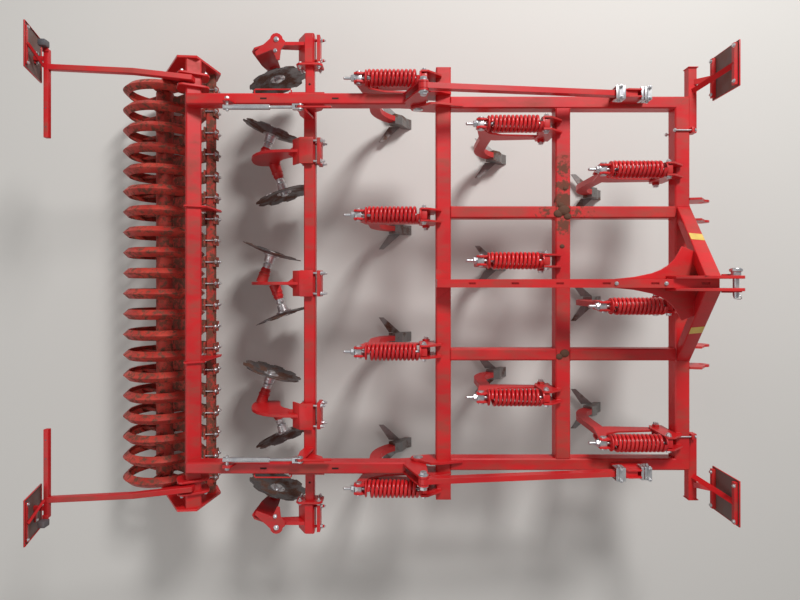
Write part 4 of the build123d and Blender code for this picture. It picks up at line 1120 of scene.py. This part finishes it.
bm = bmesh.new()
for side in BOTH:
    outline = [
        (-3.300, 0.880), (-3.300, 0.960), (-3.372, 0.984), (-3.480, 1.020), (-3.640, 1.072),
        (-4.162, 1.138), (-4.162, 1.102), (-3.652, 1.034), (-3.500, 0.984), (-3.400, 0.940), (-3.380, 0.880),
    ]
    plate(bm, outline, upright(0, side * 1.385 + 0.018), 0.036, 0.003)
    for y in (1.344, 1.426):
        turn = upright(ROLLER_BEAM_X, side * y + 0.007, ROLLER_BEAM_Z) @ BEAM_TILT
        plate(
            bm,
            [
                (-0.104, -0.040), (-0.096, -0.062), (-0.074, -0.076), (0.074, -0.076), (0.096, -0.062),
                (0.104, -0.040), (0.104, 0.040), (0.096, 0.062), (0.074, 0.076), (-0.074, 0.076),
                (-0.096, 0.062), (-0.104, 0.040),
            ],
            turn,
            0.014,
            0.0015,
        )
    side_slab(bm, side, (-4.181, 0.932, 1.104), (-4.149, 1.500, 1.136), 0.004)
    side_slab(bm, side, (-4.184, 1.478, 1.134), (-4.146, 1.522, 1.141), 0.001)
    rod(bm, at(-4.178, side * 1.384, 1.128), at(-4.192, side * 1.478, 1.262), 0.011, 4)
    side_slab(bm, side, (-4.262, 1.426, 1.108), (-4.178, 1.454, 1.132), 0.002)
    turn = panel_place(side)
    for y in (-PANEL_HALF, PANEL_HALF):
        slab(bm, (-0.002, y - RIM_HALF, 0.0), (0.008, y + RIM_HALF, 0.2945), 0.0006, turn)
    for z in (0.0015, 0.293):
        slab(bm, (-0.002, -PANEL_HALF, z - RIM_HALF), (0.008, PANEL_HALF, z + RIM_HALF), 0.0006, turn)
    slab(bm, (0.004, -0.120, 0.256), (0.013, 0.120, 0.278), 0.001, turn)
    slab(bm, (0.004, -0.060, 0.100), (0.013, 0.020, 0.132), 0.001, turn)
keep("rear_panel_arms", bm, "roller_frame", ROLLER_FRAME_RED, ["lamp_arms"])

# Bolts of the rear panels and of the clamps on the roller beam

bm = bmesh.new()
for side in BOTH:
    turn = panel_place(side)
    for y, z in ((-0.110, 0.267), (0.110, 0.267), (-0.050, 0.116), (0.010, 0.116)):
        hex_bolt(bm, turn @ Vector((0.013, y, z)), turn.to_3x3() @ Vector((1, 0, 0)), 0.009)
    for y, outward in ((1.351, -side), (1.433, side)):
        turn = upright(ROLLER_BEAM_X, side * y, ROLLER_BEAM_Z) @ BEAM_TILT
        for x in (-0.076, 0.076):
            for z in (-0.0558, 0.0558):
                hex_bolt(bm, turn @ Vector((x, z, 0)), (0, outward, 0), 0.011)
keep("rear_panel_bolts", bm, "roller_frame", ZINC)

# Side lamps at the ends of the rear cross bars, and the bars' rivets

bm = bmesh.new()
for side in BOTH:
    side_slab(bm, side, (-4.188, 1.502, 1.128), (-4.142, 1.545, 1.182), 0.007)
    rod(bm, at(-4.188, side * 1.5235, 1.155), at(-4.194, side * 1.5235, 1.155), 0.019, 24, 0.016)
    for y in (1.000, 1.120):
        rod(bm, at(-4.165, side * y, 1.1355), at(-4.165, side * y, 1.1368), 0.0045, 12)
keep("side_lamps", bm, "roller_frame", LAMP_GREY)

# Weld beads along the frame's joints


def bead(bm, start, end, radius=0.0035):
    """Weld bead along a seam."""
    start = Vector(start)
    run = Vector(end) - start
    count = max(int(run.length / 0.010), 2)
    wire(bm, [start + run * index / count for index in range(count + 1)], radius, 6)


bm = bmesh.new()
for side in BOTH:
    for station in BEAM_FACES:
        for y in (side * 0.440, side * 0.520):
            bead(bm, at(station, y, 0.856), at(station, y, 0.944))
        bead(bm, at(station, side * 0.446, 0.9495), at(station, side * 0.514, 0.9495))
    for station in BEAM_FACES[1:3]:
        bead(bm, at(station, side * 1.180, 0.856), at(station, side * 1.180, 0.944))
    bead(bm, at(BEAM_FACES[3], side * 1.186, 0.9495), at(BEAM_FACES[3], side * 1.254, 0.9495))
    bead(bm, at(0.050, side * 0.437, 0.9495), at(0.050, side * 0.423, 0.9495))
for x, y in TINES:
    for side in BOTH:
        for face in (0.0325, 0.0455):
            seam = y + side * face
            bead(bm, at(x - 0.046, seam, 0.951), at(x - 0.018, seam, 0.951), 0.003)
for side in BOTH:
    for y in (LEG_FOOT - 0.055, LEG_FOOT + 0.055):
        bead(bm, at(-0.038, side * y, 0.952), at(0.046, side * y, 0.952))
keep("weld_beads", bm, "main_frame", FRAME_RED, smooth=60)

# Clods of soil that lie on the middle beam

CLOD_Z = BEAM_TOP + 0.001
bm = bmesh.new()
for x, y, radius in (
    (-0.800, 0.492, 0.034), (-0.838, 0.470, 0.026), (-0.775, 0.452, 0.022), (-0.822, 0.528, 0.018),
    (-0.795, -0.470, 0.026), (-0.830, -0.492, 0.020), (-0.812, 0.250, 0.014), (-0.790, 0.640, 0.013),
):
    made = bmesh.ops.create_icosphere(
        bm,
        subdivisions=3,
        radius=radius,
        matrix=Matrix.Translation(at(x, y, CLOD_Z)) @ Matrix.Diagonal((1.2, 1.0, 0.42, 1)),
    )
    for vert in made["verts"]:
        bump = 1 + 0.16 * sin(vert.co.x * 310) * cos(vert.co.y * 270) + 0.08 * sin(vert.co.y * 700)
        vert.co.z = CLOD_Z + (vert.co.z - CLOD_Z) * bump
        vert.co.z = max(vert.co.z, BEAM_TOP + 0.0002)
keep("soil_clods", bm, "main_frame", CLOD_SOIL, smooth=50)

# Camera at the photograph's place, straight above and looking down

lens = bpy.data.cameras.new("camera")
lens.lens = 24
lens.sensor_width = 36
lens.shift_y = -0.02075
camera = bpy.data.objects.new("camera", lens)
camera.location = (FRONT_X - 1.903, 0.0, 4.54)
camera.rotation_euler = (0, 0, 0)
bpy.context.scene.collection.objects.link(camera)
bpy.context.scene.camera = camera

# Floor and light

bm = bmesh.new()
bmesh.ops.create_grid(bm, x_segments=1, y_segments=1, size=30)
mesh = bpy.data.meshes.new("floor")
bm.to_mesh(mesh)
bm.free()
floor = bpy.data.objects.new("floor", mesh)
bpy.context.scene.collection.objects.link(floor)
floor.location = (0, 0, -0.0005)
ground = bpy.data.materials.new("floor")
ground.use_nodes = True
surface = ground.node_tree.nodes["Principled BSDF"].inputs
surface["Base Color"].default_value = (0.62, 0.60, 0.57, 1)
surface["Roughness"].default_value = 0.9
mesh.materials.append(ground)

LIGHT_AIM = Vector((0, 0, 0.5))
for name, place, size, power in (
    ("key", (3.0, 6.6, 7.0), 2.0, 820),
    ("fill", (-5.0, -3.0, 7.0), 6.0, 120),
):
    lamp = bpy.data.lights.new(name, "AREA")
    lamp.size = size
    lamp.energy = power
    light = bpy.data.objects.new(name, lamp)
    light.location = place
    light.rotation_euler = (LIGHT_AIM - Vector(place)).to_track_quat("-Z", "Y").to_euler()
    bpy.context.scene.collection.objects.link(light)

world = bpy.data.worlds.new("world")
world.use_nodes = True
sky = world.node_tree.nodes["Background"].inputs
sky["Color"].default_value = (1.0, 1.0, 1.0, 1)
sky["Strength"].default_value = 0.34
bpy.context.scene.world = world
bpy.context.scene.view_settings.view_transform = "Standard"
